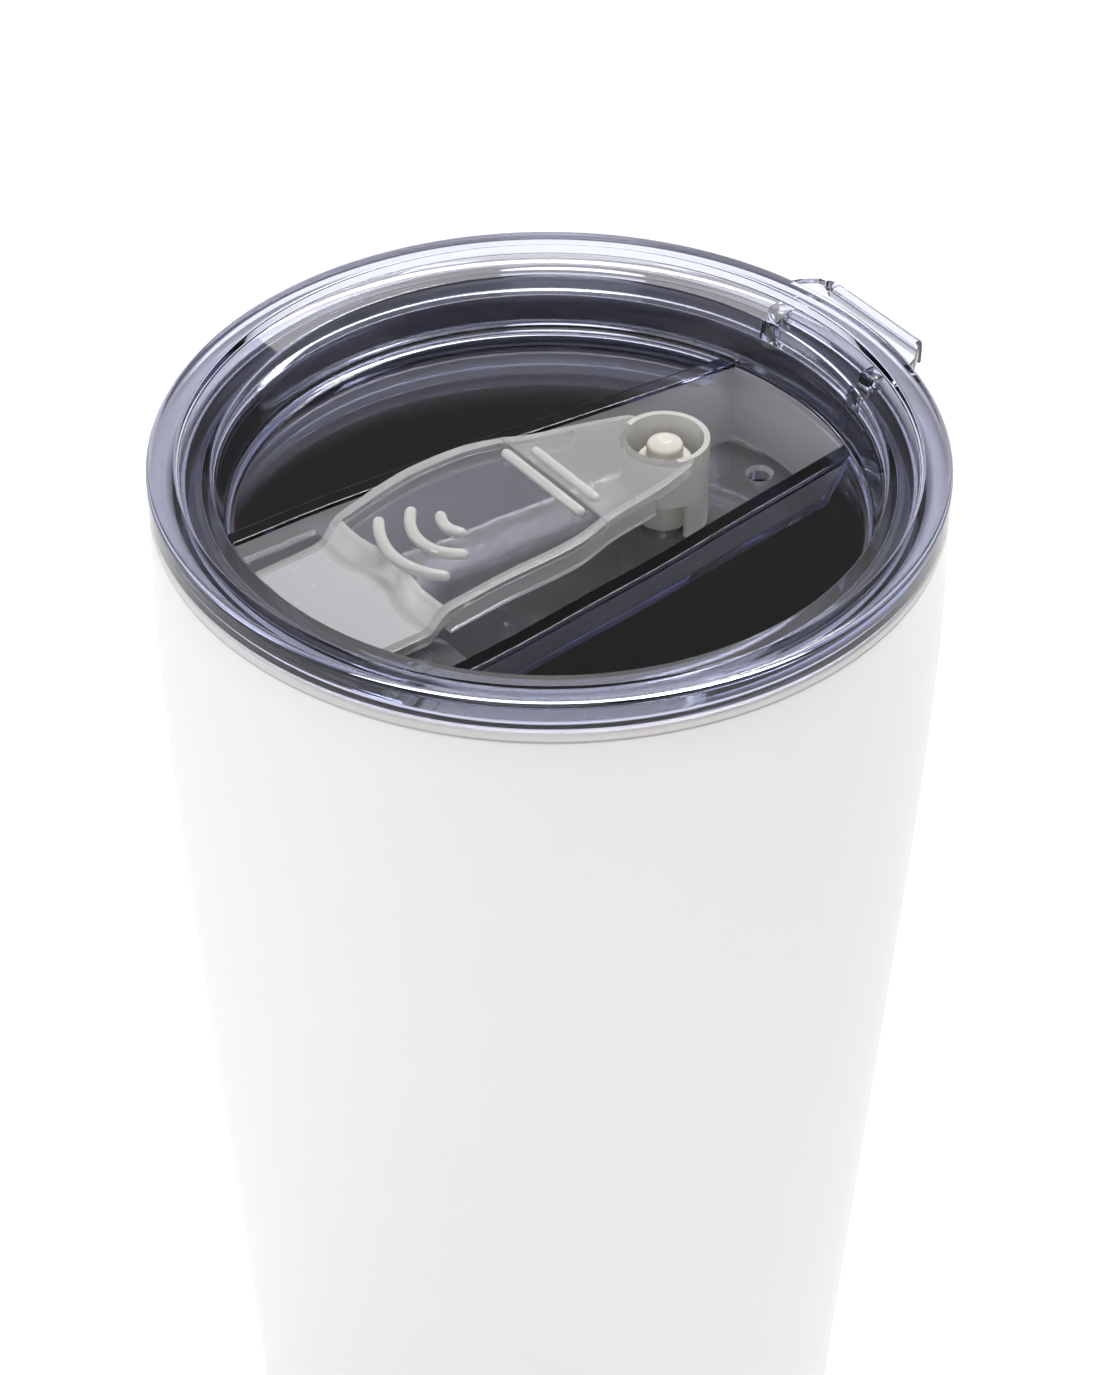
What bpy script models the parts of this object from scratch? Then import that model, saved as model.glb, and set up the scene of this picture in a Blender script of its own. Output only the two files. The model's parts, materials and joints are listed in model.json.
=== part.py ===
"""Insulated tumbler with a clear press-in lid and a lift-up flap.

Metres, +Z up, base centre on the origin, drinking side at -Y, pull tab at +Y.
"""
import math

import bmesh
import bpy
from mathutils import Matrix, Vector

# ---------------------------------------------------------------- sizes
FIT_GAP = 0.0003            # clearance between neighbouring pieces
STEPS = 48                  # segments of the turned pieces

BODY_HEIGHT = 0.1680        # floor to the steel rim
RIM_RADIUS = 0.0439         # outside of the steel rim
BELLY_RADIUS = RIM_RADIUS + 0.0002   # widest part of the body, just below the rim
BASE_RADIUS = RIM_RADIUS - 0.0097    # outside of the body just above the base corner
BASE_CORNER = 0.0030        # rounding of the base corner
SHELL_WALL = 0.0006         # outer steel wall
LINER_WALL = 0.0005         # inner steel wall
LIP_HEIGHT = 0.0011         # bare rolled lip of the liner
LIP_WIDTH = 0.0027          # radial width of the rolled lip
NECK_RADIUS = RIM_RADIUS - 0.0030    # straight neck of the liner, where the lid's ring seals
NECK_LOW = 0.1555           # the neck ends here, above the body's floor
VACUUM_GAP = 0.0030         # space between the two steel walls
BASE_DEPTH = 0.0110         # height of the liner's floor above the ground
PLATE_WALL = 0.0008         # outer bottom plate
CAP_RADIUS = BASE_RADIUS - 0.0057    # base cap, the face the tumbler stands on
CAP_THICK = 0.0012

FLANGE_THICK = 0.0037       # lid flange, stands on the rim
FLANGE_OVER = 0.0002        # flange beyond the rim
RING_WIDTH = 0.0031         # raised outer ring of the flange
LAND_DROP = 0.0010          # step from the ring down to the inner land
LAND_SLOPE = 0.0008         # fall of the land towards the well
WELL_RADIUS = RIM_RADIUS - 0.0067    # inside of the well at its top
WELL_DRAFT = 0.0017         # how much the well narrows to its floor
WELL_DEPTH = 0.0087         # ring top to the well floor
FLOOR_THICK = 0.0018        # thickness of the well floor and channel walls
TROUGH_DEPTH = 0.0163       # ring top to the channel floor
TROUGH_REAR_HALF = 0.0099   # channel half width at the back
TROUGH_MID_HALF = 0.0134    # channel half width near the middle
TROUGH_FRONT_HALF = 0.0160  # channel half width near the drinking side
SILL_DEPTH = 0.0100         # ring top to the drinking sill
SILL_START = -0.0215        # the sill runs from here to the front
DRINK_HALF = 0.0075         # half width of the drinking opening
DRINK_DEPTH = 0.0070        # front to back size of the drinking opening
DRINK_Y = -0.0283
VENT_RADIUS = 0.0013
VENT_Y = 0.0303

TAB_ROOT_HALF = 0.0106
TAB_TIP_HALF = 0.0076
TAB_REACH = RIM_RADIUS + 0.0034      # pull tab's outer edge, from the axis
TAB_THICK = 0.0018
TAB_LIP_DROP = 0.0036       # downturned lip of the tab

GASKET_DEPTH = 0.0051       # ring top to the gasket groove
GASKET_HEIGHT = 0.0036
GROOVE_SINK = 0.0006

POST_Y = 0.0162             # axis of the flap's post
POST_RADIUS = 0.0031
POST_NUB_RADIUS = 0.0021
POST_TOP_DEPTH = 0.0052
PIN_HOLE_RADIUS = 0.0022
BARB_RADIUS = PIN_HOLE_RADIUS + 0.0008

DECK_DEPTH = 0.0041         # ring top to the flap's top deck
PLATE_THICK = 0.0013        # flap plate and its skirts
HINGE_Y = 0.0006            # living hinge line, between the two bars
FLAP_HALF = 0.0114          # widest half width of the flap
FLAP_TIP_HALF = 0.0102
FLAP_TIP_Y = -0.0332
LIP_DEPTH = 0.0080          # ring top to the flap's low front lip
BOSS_HOLE_RADIUS = POST_RADIUS + 0.0013   # recess round the post's head
BOSS_RADIUS = BOSS_HOLE_RADIUS + 0.00065
BAR_WIDTH = 0.0013
BAR_RISE = 0.0005
PLUG_DEPTH = 0.0012

LID_TOP = BODY_HEIGHT + FIT_GAP + FLANGE_THICK


def depth(value):
    """Height of a level given as a depth below the lid's top ring."""
    return LID_TOP - value


# ---------------------------------------------------------------- helpers
def clear_scene():
    for thing in list(bpy.data.objects):
        bpy.data.objects.remove(thing, do_unlink=True)


def new_collection(name):
    group = bpy.data.collections.new(name)
    bpy.context.scene.collection.children.link(group)
    return group


def make_material(name, color, metallic, rough, transmission=0.0, alpha=1.0):
    mat = bpy.data.materials.new(name)
    mat.use_nodes = True
    shader = mat.node_tree.nodes.get("Principled BSDF")
    shader.inputs["Base Color"].default_value = (color[0], color[1], color[2], 1.0)
    shader.inputs["Metallic"].default_value = metallic
    shader.inputs["Roughness"].default_value = rough
    shader.inputs["Transmission Weight"].default_value = transmission
    shader.inputs["Alpha"].default_value = alpha
    mat.diffuse_color = (color[0], color[1], color[2], alpha)
    return mat


def link_mesh(name, mesh, group, mat=None):
    thing = bpy.data.objects.new(name, mesh)
    group.objects.link(thing)
    if mat is not None:
        mesh.materials.append(mat)
    return thing


def bake(thing):
    """Apply every modifier of an object to its mesh."""
    bpy.context.view_layer.update()
    graph = bpy.context.evaluated_depsgraph_get()
    fresh = bpy.data.meshes.new_from_object(thing.evaluated_get(graph))
    thing.modifiers.clear()
    old = thing.data
    thing.data = fresh
    bpy.data.meshes.remove(old)


def tidy_mesh(thing):
    shape = bmesh.new()
    shape.from_mesh(thing.data)
    bmesh.ops.remove_doubles(shape, verts=shape.verts, dist=0.000005)
    bmesh.ops.dissolve_degenerate(shape, edges=shape.edges, dist=0.000005)
    bmesh.ops.recalc_face_normals(shape, faces=shape.faces)
    shape.to_mesh(thing.data)
    shape.free()


def shade(thing, angle=0.6):
    for face in thing.data.polygons:
        face.use_smooth = True
    thing.data.set_sharp_from_angle(angle=angle)


def turned(name, points, group, mat=None, steps=STEPS, offset=(0.0, 0.0)):
    """Turn a closed (radius, height) outline about a vertical axis."""
    mesh = bpy.data.meshes.new(name)
    shape = bmesh.new()
    verts = [shape.verts.new((radius, 0.0, height)) for radius, height in points]
    count = len(verts)
    for index in range(count):
        on_axis = points[index][0] == 0.0 and points[(index + 1) % count][0] == 0.0
        if not on_axis:
            shape.edges.new((verts[index], verts[(index + 1) % count]))
    shape.to_mesh(mesh)
    shape.free()
    thing = link_mesh(name, mesh, group, mat)
    turn = thing.modifiers.new("Turn", "SCREW")
    turn.axis = "Z"
    turn.angle = math.tau
    turn.steps = steps
    turn.render_steps = steps
    turn.use_merge_vertices = True
    turn.merge_threshold = 0.00001
    bake(thing)
    tidy_mesh(thing)
    if offset != (0.0, 0.0):
        thing.data.transform(Matrix.Translation((offset[0], offset[1], 0.0)))
    shade(thing)
    return thing


def loft(name, rings, group, mat=None, closed_ends=True):
    """Join rings of equal length into one closed skin."""
    mesh = bpy.data.meshes.new(name)
    shape = bmesh.new()
    rows = [[shape.verts.new(point) for point in ring] for ring in rings]
    size = len(rows[0])
    for first, second in zip(rows, rows[1:]):
        for index in range(size):
            follow = (index + 1) % size
            shape.faces.new((first[index], first[follow], second[follow], second[index]))
    if closed_ends:
        shape.faces.new(rows[0][::-1])
        shape.faces.new(rows[-1])
    bmesh.ops.recalc_face_normals(shape, faces=shape.faces)
    shape.to_mesh(mesh)
    shape.free()
    return link_mesh(name, mesh, group, mat)


def cylinder(name, radius, low, high, centre, group, steps=32):
    points = [(0.0, high), (radius, high), (radius, low), (0.0, low)]
    return turned(name, points, group, steps=steps, offset=centre)


def box(name, low, high, group):
    bpy.ops.mesh.primitive_cube_add(size=1.0)
    thing = bpy.context.object
    thing.name = name
    size = Vector(high) - Vector(low)
    middle = (Vector(high) + Vector(low)) / 2.0
    place = Matrix.Translation(middle) @ Matrix.Diagonal((size.x, size.y, size.z, 1.0))
    thing.data.transform(place)
    for owner in list(thing.users_collection):
        owner.objects.unlink(thing)
    group.objects.link(thing)
    return thing


def combine(thing, tool, kind):
    """Boolean one object with another and keep the result."""
    step = thing.modifiers.new("Shape", "BOOLEAN")
    step.operation = kind
    step.solver = "EXACT"
    step.object = tool
    bake(thing)
    tidy_mesh(thing)


def hide_tool(thing):
    thing.hide_render = True
    thing.display_type = "WIRE"


def blend(a, b, share):
    return a + (b - a) * share


def along(table, where):
    """Read a smooth value from (position, value) pairs sorted by position."""
    if where <= table[0][0]:
        return table[0][1]
    for (p0, v0), (p1, v1) in zip(table, table[1:]):
        if where <= p1:
            return blend(v0, v1, (where - p0) / (p1 - p0))
    return table[-1][1]


# ---------------------------------------------------------------- steel body
BODY_CURVE = [
    (BASE_CORNER, BASE_RADIUS),
    (0.0300, blend(BASE_RADIUS, BELLY_RADIUS, 0.187)),
    (0.0600, blend(BASE_RADIUS, BELLY_RADIUS, 0.400)),
    (0.0900, blend(BASE_RADIUS, BELLY_RADIUS, 0.620)),
    (0.1120, blend(BASE_RADIUS, BELLY_RADIUS, 0.770)),
    (0.1300, blend(BASE_RADIUS, BELLY_RADIUS, 0.895)),
    (0.1420, blend(BASE_RADIUS, BELLY_RADIUS, 0.955)),
    (0.1520, BELLY_RADIUS),
    (BODY_HEIGHT - LIP_HEIGHT, blend(RIM_RADIUS, BELLY_RADIUS, 0.3)),
]
BODY_CURVE = [(BODY_HEIGHT * level / 0.1680 if level > BASE_CORNER else level, radius)
              for level, radius in BODY_CURVE[:-1]] + [BODY_CURVE[-1]]


def body_radius(level):
    return along(BODY_CURVE, level)


def liner_radius(level):
    """Inside radius of the drinking cup at a height."""
    inner = body_radius(level) - SHELL_WALL - VACUUM_GAP - LINER_WALL
    return inner


def outer_shell(group, mat):
    top = BODY_HEIGHT - LIP_HEIGHT - FIT_GAP
    heights = [top, 0.1520, 0.1420, 0.1300, 0.1120, 0.0900, 0.0600, 0.0300]
    heights = [h * BODY_HEIGHT / 0.1680 if h != top else h for h in heights]
    outside = [(body_radius(h), h) for h in heights]
    corner = BASE_RADIUS - BASE_CORNER
    for turn in (0, 30, 60, 90):
        swing = math.radians(turn)
        outside.append((corner + BASE_CORNER * math.cos(swing),
                        0.0008 + BASE_CORNER - BASE_CORNER * math.sin(swing)))
    lip = CAP_RADIUS + FIT_GAP
    outside.append((lip + 0.0008, 0.0008))
    inside = [(lip + 0.0008, 0.0008 + SHELL_WALL)]
    for turn in (90, 45, 0):
        swing = math.radians(turn)
        reach = BASE_CORNER - SHELL_WALL
        inside.append((corner + reach * math.cos(swing),
                       0.0008 + BASE_CORNER - reach * math.sin(swing)))
    inside += [(body_radius(h) - SHELL_WALL, h) for h in heights[::-1]]
    return turned("outer_shell", outside + inside, group, mat)


def inner_liner(group, mat):
    top = BODY_HEIGHT
    inner_lip = RIM_RADIUS - LIP_WIDTH
    low = BODY_HEIGHT - LIP_HEIGHT
    outer_lip = blend(RIM_RADIUS, BELLY_RADIUS, 0.3)
    floor = BASE_DEPTH
    heights = [0.1420, 0.1200, 0.0900, 0.0600, 0.0300]
    heights = [h * BODY_HEIGHT / 0.1680 for h in heights]
    neck_low = NECK_LOW * BODY_HEIGHT / 0.1680
    neck_foot = neck_low - 0.0020
    outer = [
        (inner_lip + 0.0006, top),
        (RIM_RADIUS - 0.0006, top),
        (RIM_RADIUS, top - 0.0006),
        (outer_lip, low),
        (NECK_RADIUS + LINER_WALL, low),
        (NECK_RADIUS + LINER_WALL, neck_low),
        (liner_radius(neck_foot) + LINER_WALL, neck_foot),
    ]
    outer += [(liner_radius(h) + LINER_WALL, h) for h in heights]
    bottom = liner_radius(floor + 0.006)
    outer += [
        (bottom + LINER_WALL, floor + 0.006),
        (bottom + LINER_WALL - 0.0017, floor + 0.0017 - LINER_WALL),
        (bottom + LINER_WALL - 0.0060, floor - LINER_WALL),
        (0.0, floor - LINER_WALL),
    ]
    inner = [
        (0.0, floor),
        (bottom - 0.0060, floor),
        (bottom - 0.0017, floor + 0.0017),
        (bottom, floor + 0.0060),
    ]
    inner += [(liner_radius(h), h) for h in heights[::-1]]
    inner += [(liner_radius(neck_foot), neck_foot), (NECK_RADIUS, neck_low),
              (NECK_RADIUS, low - 0.0010), (inner_lip, top - 0.0006)]
    return turned("inner_liner", outer + inner, group, mat)


def base_plate(group, mat):
    """Pressed plate that closes the outer wall from inside."""
    edge = BASE_RADIUS - SHELL_WALL - FIT_GAP
    low = 0.0008 + BASE_CORNER + 0.0004
    rise = low + 0.0030
    points = [
        (edge, rise),
        (edge, low),
        (edge - 0.0016, low - 0.0004),
        (0.0022, low - 0.0004),
        (0.0022, low - 0.0004 + PLATE_WALL),
        (edge - PLATE_WALL - 0.0010, low - 0.0004 + PLATE_WALL),
        (edge - PLATE_WALL, low - 0.0004 + PLATE_WALL + 0.0008),
        (edge - PLATE_WALL, rise),
    ]
    return turned("base_plate", points, group, mat)


def vacuum_seal(group, mat):
    """Bead of solder under the evacuation hole of the plate."""
    low = 0.0008 + BASE_CORNER
    points = [
        (0.0, low - 0.0006),
        (0.0026, low - 0.0009),
        (0.0034, low - 0.0003 - 0.0003),
        (0.0036, low - FIT_GAP),
        (0.0019, low - FIT_GAP),
        (0.0019, low + 0.0009),
        (0.0, low + 0.0010),
    ]
    return turned("vacuum_seal", points[::-1], group, mat, steps=20)


def getter(group, mat):
    """Small gas-absorbing pill on the plate, in the vacuum space."""
    low = 0.0008 + BASE_CORNER + PLATE_WALL + FIT_GAP
    points = [(0.0, low + 0.0016), (0.0038, low + 0.0016), (0.0042, low + 0.0012),
              (0.0042, low), (0.0, low)]
    return turned("getter_pill", points, group, mat, steps=20, offset=(0.0135, 0.0))


def base_cap(group, mat):
    """Flat disc pressed under the body; the tumbler stands on it."""
    points = [
        (0.0, 0.0),
        (CAP_RADIUS - 0.0005, 0.0),
        (CAP_RADIUS, 0.0005),
        (CAP_RADIUS, 0.0008 + SHELL_WALL + 0.0010),
        (CAP_RADIUS - 0.0010, 0.0008 + SHELL_WALL + 0.0010),
        (CAP_RADIUS - 0.0010, CAP_THICK),
        (0.0, CAP_THICK),
    ]
    return turned("base_cap", points[::-1], group, mat)


# ---------------------------------------------------------------- lid
LID_EDGE = RIM_RADIUS + FLANGE_OVER
WELL_FLOOR_RADIUS = WELL_RADIUS - WELL_DRAFT
PLUG_TOP_RADIUS = NECK_RADIUS - FIT_GAP
PLUG_RADIUS = NECK_RADIUS - 0.0016


def trough_half(y, at_floor=False):
    """Half width of the channel at its mouth or on its floor."""
    mouth = [(-0.0370, TROUGH_FRONT_HALF), (-0.0200, TROUGH_FRONT_HALF - 0.0004),
             (-0.0050, blend(TROUGH_MID_HALF, TROUGH_FRONT_HALF, 0.35)),
             (0.0050, TROUGH_MID_HALF), (0.0160, TROUGH_MID_HALF - 0.0014),
             (0.0344, TROUGH_REAR_HALF), (0.0370, TROUGH_REAR_HALF)]
    half = along(mouth, y)
    if at_floor:
        half = half * 0.755
    return half


def trough_ring(level, extra, floor_share, rear, front):
    """Plan outline of the channel at one level; extra widens it."""
    ring = []
    stations = 9
    corner = min(trough_half(rear) * blend(1.0, 0.70, floor_share) + extra, rear * 0.6)
    y_rear = math.sqrt(rear * rear - corner * corner)
    front_half = trough_half(-front) * blend(1.0, 0.755, floor_share) + extra
    front_half = min(front_half, front * 0.60)
    y_front = -math.sqrt(front * front - front_half * front_half)
    for index in range(stations):
        y = blend(y_rear, y_front, index / (stations - 1))
        wide = trough_half(y) * blend(1.0, 0.755, floor_share) + extra
        if index == 0:
            wide = corner
        if index == stations - 1:
            wide = front_half
        ring.append((wide, y, level))
    swing = math.asin(front_half / front)
    for index in range(1, 6):
        turn = blend(swing, -swing, index / 6.0)
        ring.append((front * math.sin(turn), -front * math.cos(turn), level))
    for index in range(stations):
        share = 1.0 - index / (stations - 1)
        y = blend(y_rear, y_front, share)
        wide = trough_half(y) * blend(1.0, 0.755, floor_share) + extra
        if index == 0:
            wide = front_half
        if index == stations - 1:
            wide = corner
        ring.append((-wide, y, level))
    swing = math.asin(corner / rear)
    for index in range(1, 6):
        turn = blend(-swing, swing, index / 6.0)
        ring.append((rear * math.sin(turn), rear * math.cos(turn), level))
    return ring


def lid_outline():
    plug = PLUG_RADIUS
    groove_top = depth(GASKET_DEPTH)
    groove_low = groove_top - GASKET_HEIGHT - 2.0 * FIT_GAP
    bottom = depth(WELL_DEPTH + FLOOR_THICK)
    step = LID_EDGE - RING_WIDTH
    return [
        (0.0, depth(WELL_DEPTH)),
        (WELL_FLOOR_RADIUS - 0.0004, depth(WELL_DEPTH)),
        (WELL_FLOOR_RADIUS, depth(WELL_DEPTH - 0.0005)),
        (WELL_RADIUS - 0.0002, depth(LAND_DROP + LAND_SLOPE + 0.0005)),
        (WELL_RADIUS + 0.0003, depth(LAND_DROP + LAND_SLOPE)),
        (step - 0.0004, depth(LAND_DROP)),
        (step, depth(0.0003)),
        (step + 0.0003, depth(0.0)),
        (LID_EDGE - 0.0006, depth(0.0)),
        (LID_EDGE, depth(0.0006)),
        (LID_EDGE, depth(FLANGE_THICK - 0.0003)),
        (LID_EDGE - 0.0003, depth(FLANGE_THICK)),
        (PLUG_TOP_RADIUS, depth(FLANGE_THICK)),
        (PLUG_TOP_RADIUS, groove_top),
        (plug - GROOVE_SINK, groove_top),
        (plug - GROOVE_SINK, groove_low),
        (plug, groove_low),
        (plug - 0.0002, bottom + 0.0004),
        (plug - 0.0008, bottom),
        (0.0, bottom),
    ]


def pull_tab(group):
    """Tab blank that is joined to the flange at the back."""
    inner = LID_EDGE - 0.0030
    reach = TAB_REACH
    rings = []
    halves = [(-1.0, 0.0), (-0.5, 0.0), (0.0, 0.0), (0.5, 0.0), (1.0, 0.0)]
    stations = [(inner, TAB_ROOT_HALF, 0.0004, TAB_THICK + 0.0004),
                (LID_EDGE + 0.0004, TAB_ROOT_HALF - 0.0006, 0.0004, TAB_THICK + 0.0004),
                (reach - 0.0012, TAB_TIP_HALF + 0.0003, 0.0003, TAB_THICK + 0.0006),
                (reach - 0.0011, TAB_TIP_HALF + 0.0003, 0.0003, TAB_LIP_DROP),
                (reach, TAB_TIP_HALF, 0.0008, TAB_LIP_DROP)]
    for y, half, upper, lower in stations:
        ring = [(share * half, y, depth(upper)) for share, _ in halves]
        ring += [(-share * half, y, depth(lower)) for share, _ in halves]
        rings.append(ring)
    return loft("tab_blank", rings, group)


def lid_body(group, tools, mat):
    lid = turned("lid_body", lid_outline(), group, mat)
    rear = WELL_FLOOR_RADIUS + 0.0004
    front = WELL_FLOOR_RADIUS - 0.0002
    wall = FLOOR_THICK
    blank_rings = [
        trough_ring(depth(WELL_DEPTH + 0.0006), wall, 0.1, rear + 0.0010, front + 0.0010),
        trough_ring(depth(TROUGH_DEPTH + wall), wall * 0.8, 1.0, rear - 0.0008, front - 0.0010),
    ]
    blank = loft("trough_blank", blank_rings, tools)
    combine(lid, blank, "UNION")
    hide_tool(blank)
    cut_rings = [
        trough_ring(depth(WELL_DEPTH - 0.0010), 0.0, -0.12, rear, front),
        trough_ring(depth(WELL_DEPTH), 0.0, 0.0, rear - 0.0001, front - 0.0001),
        trough_ring(depth(TROUGH_DEPTH), 0.0, 1.0, rear - 0.0024, front - 0.0026),
    ]
    cavity = loft("trough_cavity", cut_rings, tools)
    sill = box("sill_blank", (-0.03, -0.045, depth(TROUGH_DEPTH + 0.0005)),
               (0.03, SILL_START, depth(SILL_DEPTH)), tools)
    combine(cavity, sill, "DIFFERENCE")
    hide_tool(sill)
    combine(lid, cavity, "DIFFERENCE")
    hide_tool(cavity)
    under = box("sill_under", (-0.0105, -0.0315, depth(TROUGH_DEPTH + 0.0050)),
                (0.0105, SILL_START - 0.0022, depth(SILL_DEPTH + wall)), tools)
    combine(lid, under, "DIFFERENCE")
    hide_tool(under)
    spout = drink_cutter(tools, 0.0, depth(TROUGH_DEPTH), depth(WELL_DEPTH - 0.001))
    combine(lid, spout, "DIFFERENCE")
    hide_tool(spout)
    vent = cylinder("vent_cutter", VENT_RADIUS, depth(0.0220), depth(0.0120), (0.0, VENT_Y), tools, 20)
    combine(lid, vent, "DIFFERENCE")
    hide_tool(vent)
    hole = cylinder("pin_cutter", PIN_HOLE_RADIUS, depth(0.0220), depth(0.0120), (0.0, POST_Y), tools, 20)
    combine(lid, hole, "DIFFERENCE")
    hide_tool(hole)
    tab = pull_tab(tools)
    combine(lid, tab, "UNION")
    hide_tool(tab)
    shade(lid, 0.5)
    return lid


def drink_ring(level, grow):
    """Rounded slot outline of the drinking opening."""
    ring = []
    half = DRINK_HALF + grow
    bend = DRINK_DEPTH / 2.0 + grow
    for index in range(24):
        swing = math.tau * index / 24.0
        side = math.cos(swing)
        centre = (half - bend) * (1.0 if side >= 0.0 else -1.0)
        ring.append((centre + bend * side, DRINK_Y + bend * math.sin(swing), level))
    return ring


def drink_cutter(group, grow, low, high):
    return loft("drink_cutter", [drink_ring(high, grow), drink_ring(low, grow)], group)


def lid_gasket(group, mat):
    """Silicone ring with two soft ribs that press on the cup's wall."""
    inner = PLUG_RADIUS - GROOVE_SINK + FIT_GAP
    top = depth(GASKET_DEPTH) - FIT_GAP
    low = top - GASKET_HEIGHT
    core = PLUG_RADIUS + 0.0003
    tip = NECK_RADIUS - FIT_GAP
    points = [
        (inner, top), (core, top),
        (core, top - 0.0005), (tip, top - 0.0010), (tip, top - 0.0013),
        (core, top - 0.0016), (core, top - 0.0021), (tip, top - 0.0026),
        (tip, top - 0.0029), (core, top - 0.0032), (core, low), (inner, low),
    ]
    return turned("lid_gasket", points, group, mat)


# ---------------------------------------------------------------- flap
DECK_CURVE = [(-0.0340, LIP_DEPTH), (-0.0236, LIP_DEPTH), (-0.0228, LIP_DEPTH - 0.0010),
              (-0.0212, DECK_DEPTH + 0.0015), (-0.0180, DECK_DEPTH + 0.0010),
              (-0.0140, DECK_DEPTH + 0.0002), (-0.0100, DECK_DEPTH),
              (HINGE_Y, DECK_DEPTH), (0.0025, DECK_DEPTH + 0.0003),
              (0.0090, DECK_DEPTH + 0.0008), (0.0220, DECK_DEPTH + 0.0013)]
EDGE_CURVE = [(FLAP_TIP_Y, FLAP_TIP_HALF), (-0.0250, FLAP_TIP_HALF), (-0.0150, FLAP_HALF - 0.0003),
              (-0.0100, FLAP_HALF), (-0.0040, FLAP_HALF - 0.0003), (0.0005, 0.0098),
              (0.0030, 0.0090), (0.0090, 0.0078), (0.0140, 0.0064), (0.0175, 0.0052)]


def flap_section(y, skirt):
    """Channel-shaped section of the flap: a plate with two side skirts."""
    top = depth(along(DECK_CURVE, y))
    half = along(EDGE_CURVE, y)
    wall = PLATE_THICK
    low = top - skirt
    under = top - wall
    return [
        (-half, y, low), (-half, y, top - 0.0003), (-half + 0.0003, y, top),
        (half - 0.0003, y, top), (half, y, top - 0.0003), (half, y, low),
        (half - wall, y, low), (half - wall, y, under),
        (-half + wall, y, under), (-half + wall, y, low),
    ]


def raised_bar(name, y, half, group):
    """Rounded bar across the deck."""
    level = depth(along(DECK_CURVE, y))
    low = box(name, (-half, y - BAR_WIDTH / 2.0, level - 0.0006),
              (half, y + BAR_WIDTH / 2.0, level + BAR_RISE), group)
    return low


def raised_arc(name, radius, sweep, group):
    """Curved grip rib, bowed towards the drinking side."""
    centre = -0.0108
    rings = []
    count = 7
    for index in range(count):
        turn = blend(-sweep, sweep, index / (count - 1))
        ring = []
        for reach, rise in ((-0.5, -0.0007), (-0.5, 0.0001), (-0.2, 0.0005),
                            (0.2, 0.0005), (0.5, 0.0001), (0.5, -0.0007)):
            size = radius + reach * BAR_WIDTH
            x = size * math.sin(turn)
            y = centre - size * math.cos(turn)
            level = depth(along(DECK_CURVE, y))
            ring.append((x, y, level + rise))
        rings.append(ring)
    return loft(name, rings, group)


def flap_lever(group, tools, mat):
    """Front part of the flap: deck, finger notch, low lip and plug."""
    stations = [HINGE_Y - FIT_GAP / 2.0, -0.0040, -0.0100, -0.0140, -0.0180, -0.0212,
                -0.0228, -0.0236, -0.0250, -0.0290, FLAP_TIP_Y]
    rings = []
    for y in stations:
        share = min(1.0, max(0.0, (HINGE_Y - y) / 0.020))
        skirt = blend(0.0024, 0.0036, share)
        if y <= -0.0212:
            skirt = max(PLATE_THICK + 0.0002, depth(along(DECK_CURVE, y)) - depth(LIP_DEPTH + 0.0015))
        rings.append(flap_section(y, skirt))
    lever = loft("flap_lever", rings, group, mat)
    wall = PLATE_THICK
    low = depth(LIP_DEPTH + wall)
    plug = loft("plug_blank", [drink_ring(low + 0.0004, -FIT_GAP),
                               drink_ring(depth(SILL_DEPTH + PLUG_DEPTH), -FIT_GAP - 0.0002)], tools)
    combine(lever, plug, "UNION")
    hide_tool(plug)
    bar = raised_bar("front_bar", HINGE_Y - 0.0015, 0.0078, tools)
    combine(lever, bar, "UNION")
    hide_tool(bar)
    for name, radius, sweep in (("arc_small", 0.0031, 0.92), ("arc_mid", 0.0065, 0.92),
                                ("arc_large", 0.0098, 0.74)):
        rib = raised_arc(name, radius, sweep, tools)
        combine(lever, rib, "UNION")
        hide_tool(rib)
    shade(lever, 0.5)
    set_origin(lever, (0.0, HINGE_Y, depth(DECK_DEPTH)))
    return lever


def flap_anchor(group, tools, mat):
    """Rear part of the flap: strap and boss, held down by the post."""
    stations = [HINGE_Y + FIT_GAP / 2.0, 0.0030, 0.0060, 0.0090, 0.0120, 0.0150, POST_Y + 0.0015]
    rings = [flap_section(y, 0.0024) for y in stations]
    strap = loft("flap_anchor", rings, group, mat)
    top = depth(along(DECK_CURVE, POST_Y))
    foot = depth(TROUGH_DEPTH) + FIT_GAP
    boss = cylinder("boss_blank", BOSS_RADIUS, foot, top, (0.0, POST_Y), tools)
    combine(strap, boss, "UNION")
    hide_tool(boss)
    sink = cylinder("boss_recess", BOSS_HOLE_RADIUS, top - 0.0030, top + 0.0020, (0.0, POST_Y), tools)
    combine(strap, sink, "DIFFERENCE")
    hide_tool(sink)
    bore = cylinder("boss_bore", POST_RADIUS + FIT_GAP, foot - 0.0010, top - 0.0010, (0.0, POST_Y), tools)
    combine(strap, bore, "DIFFERENCE")
    hide_tool(bore)
    mouth = box("boss_window", (-0.0080, POST_Y - 0.0080, foot - 0.0010),
                (0.0080, POST_Y - 0.0006, top - 0.0064), tools)
    combine(strap, mouth, "DIFFERENCE")
    hide_tool(mouth)
    bar = raised_bar("rear_bar", HINGE_Y + 0.0016, 0.0065, tools)
    combine(strap, bar, "UNION")
    hide_tool(bar)
    shade(strap, 0.5)
    return strap


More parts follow.
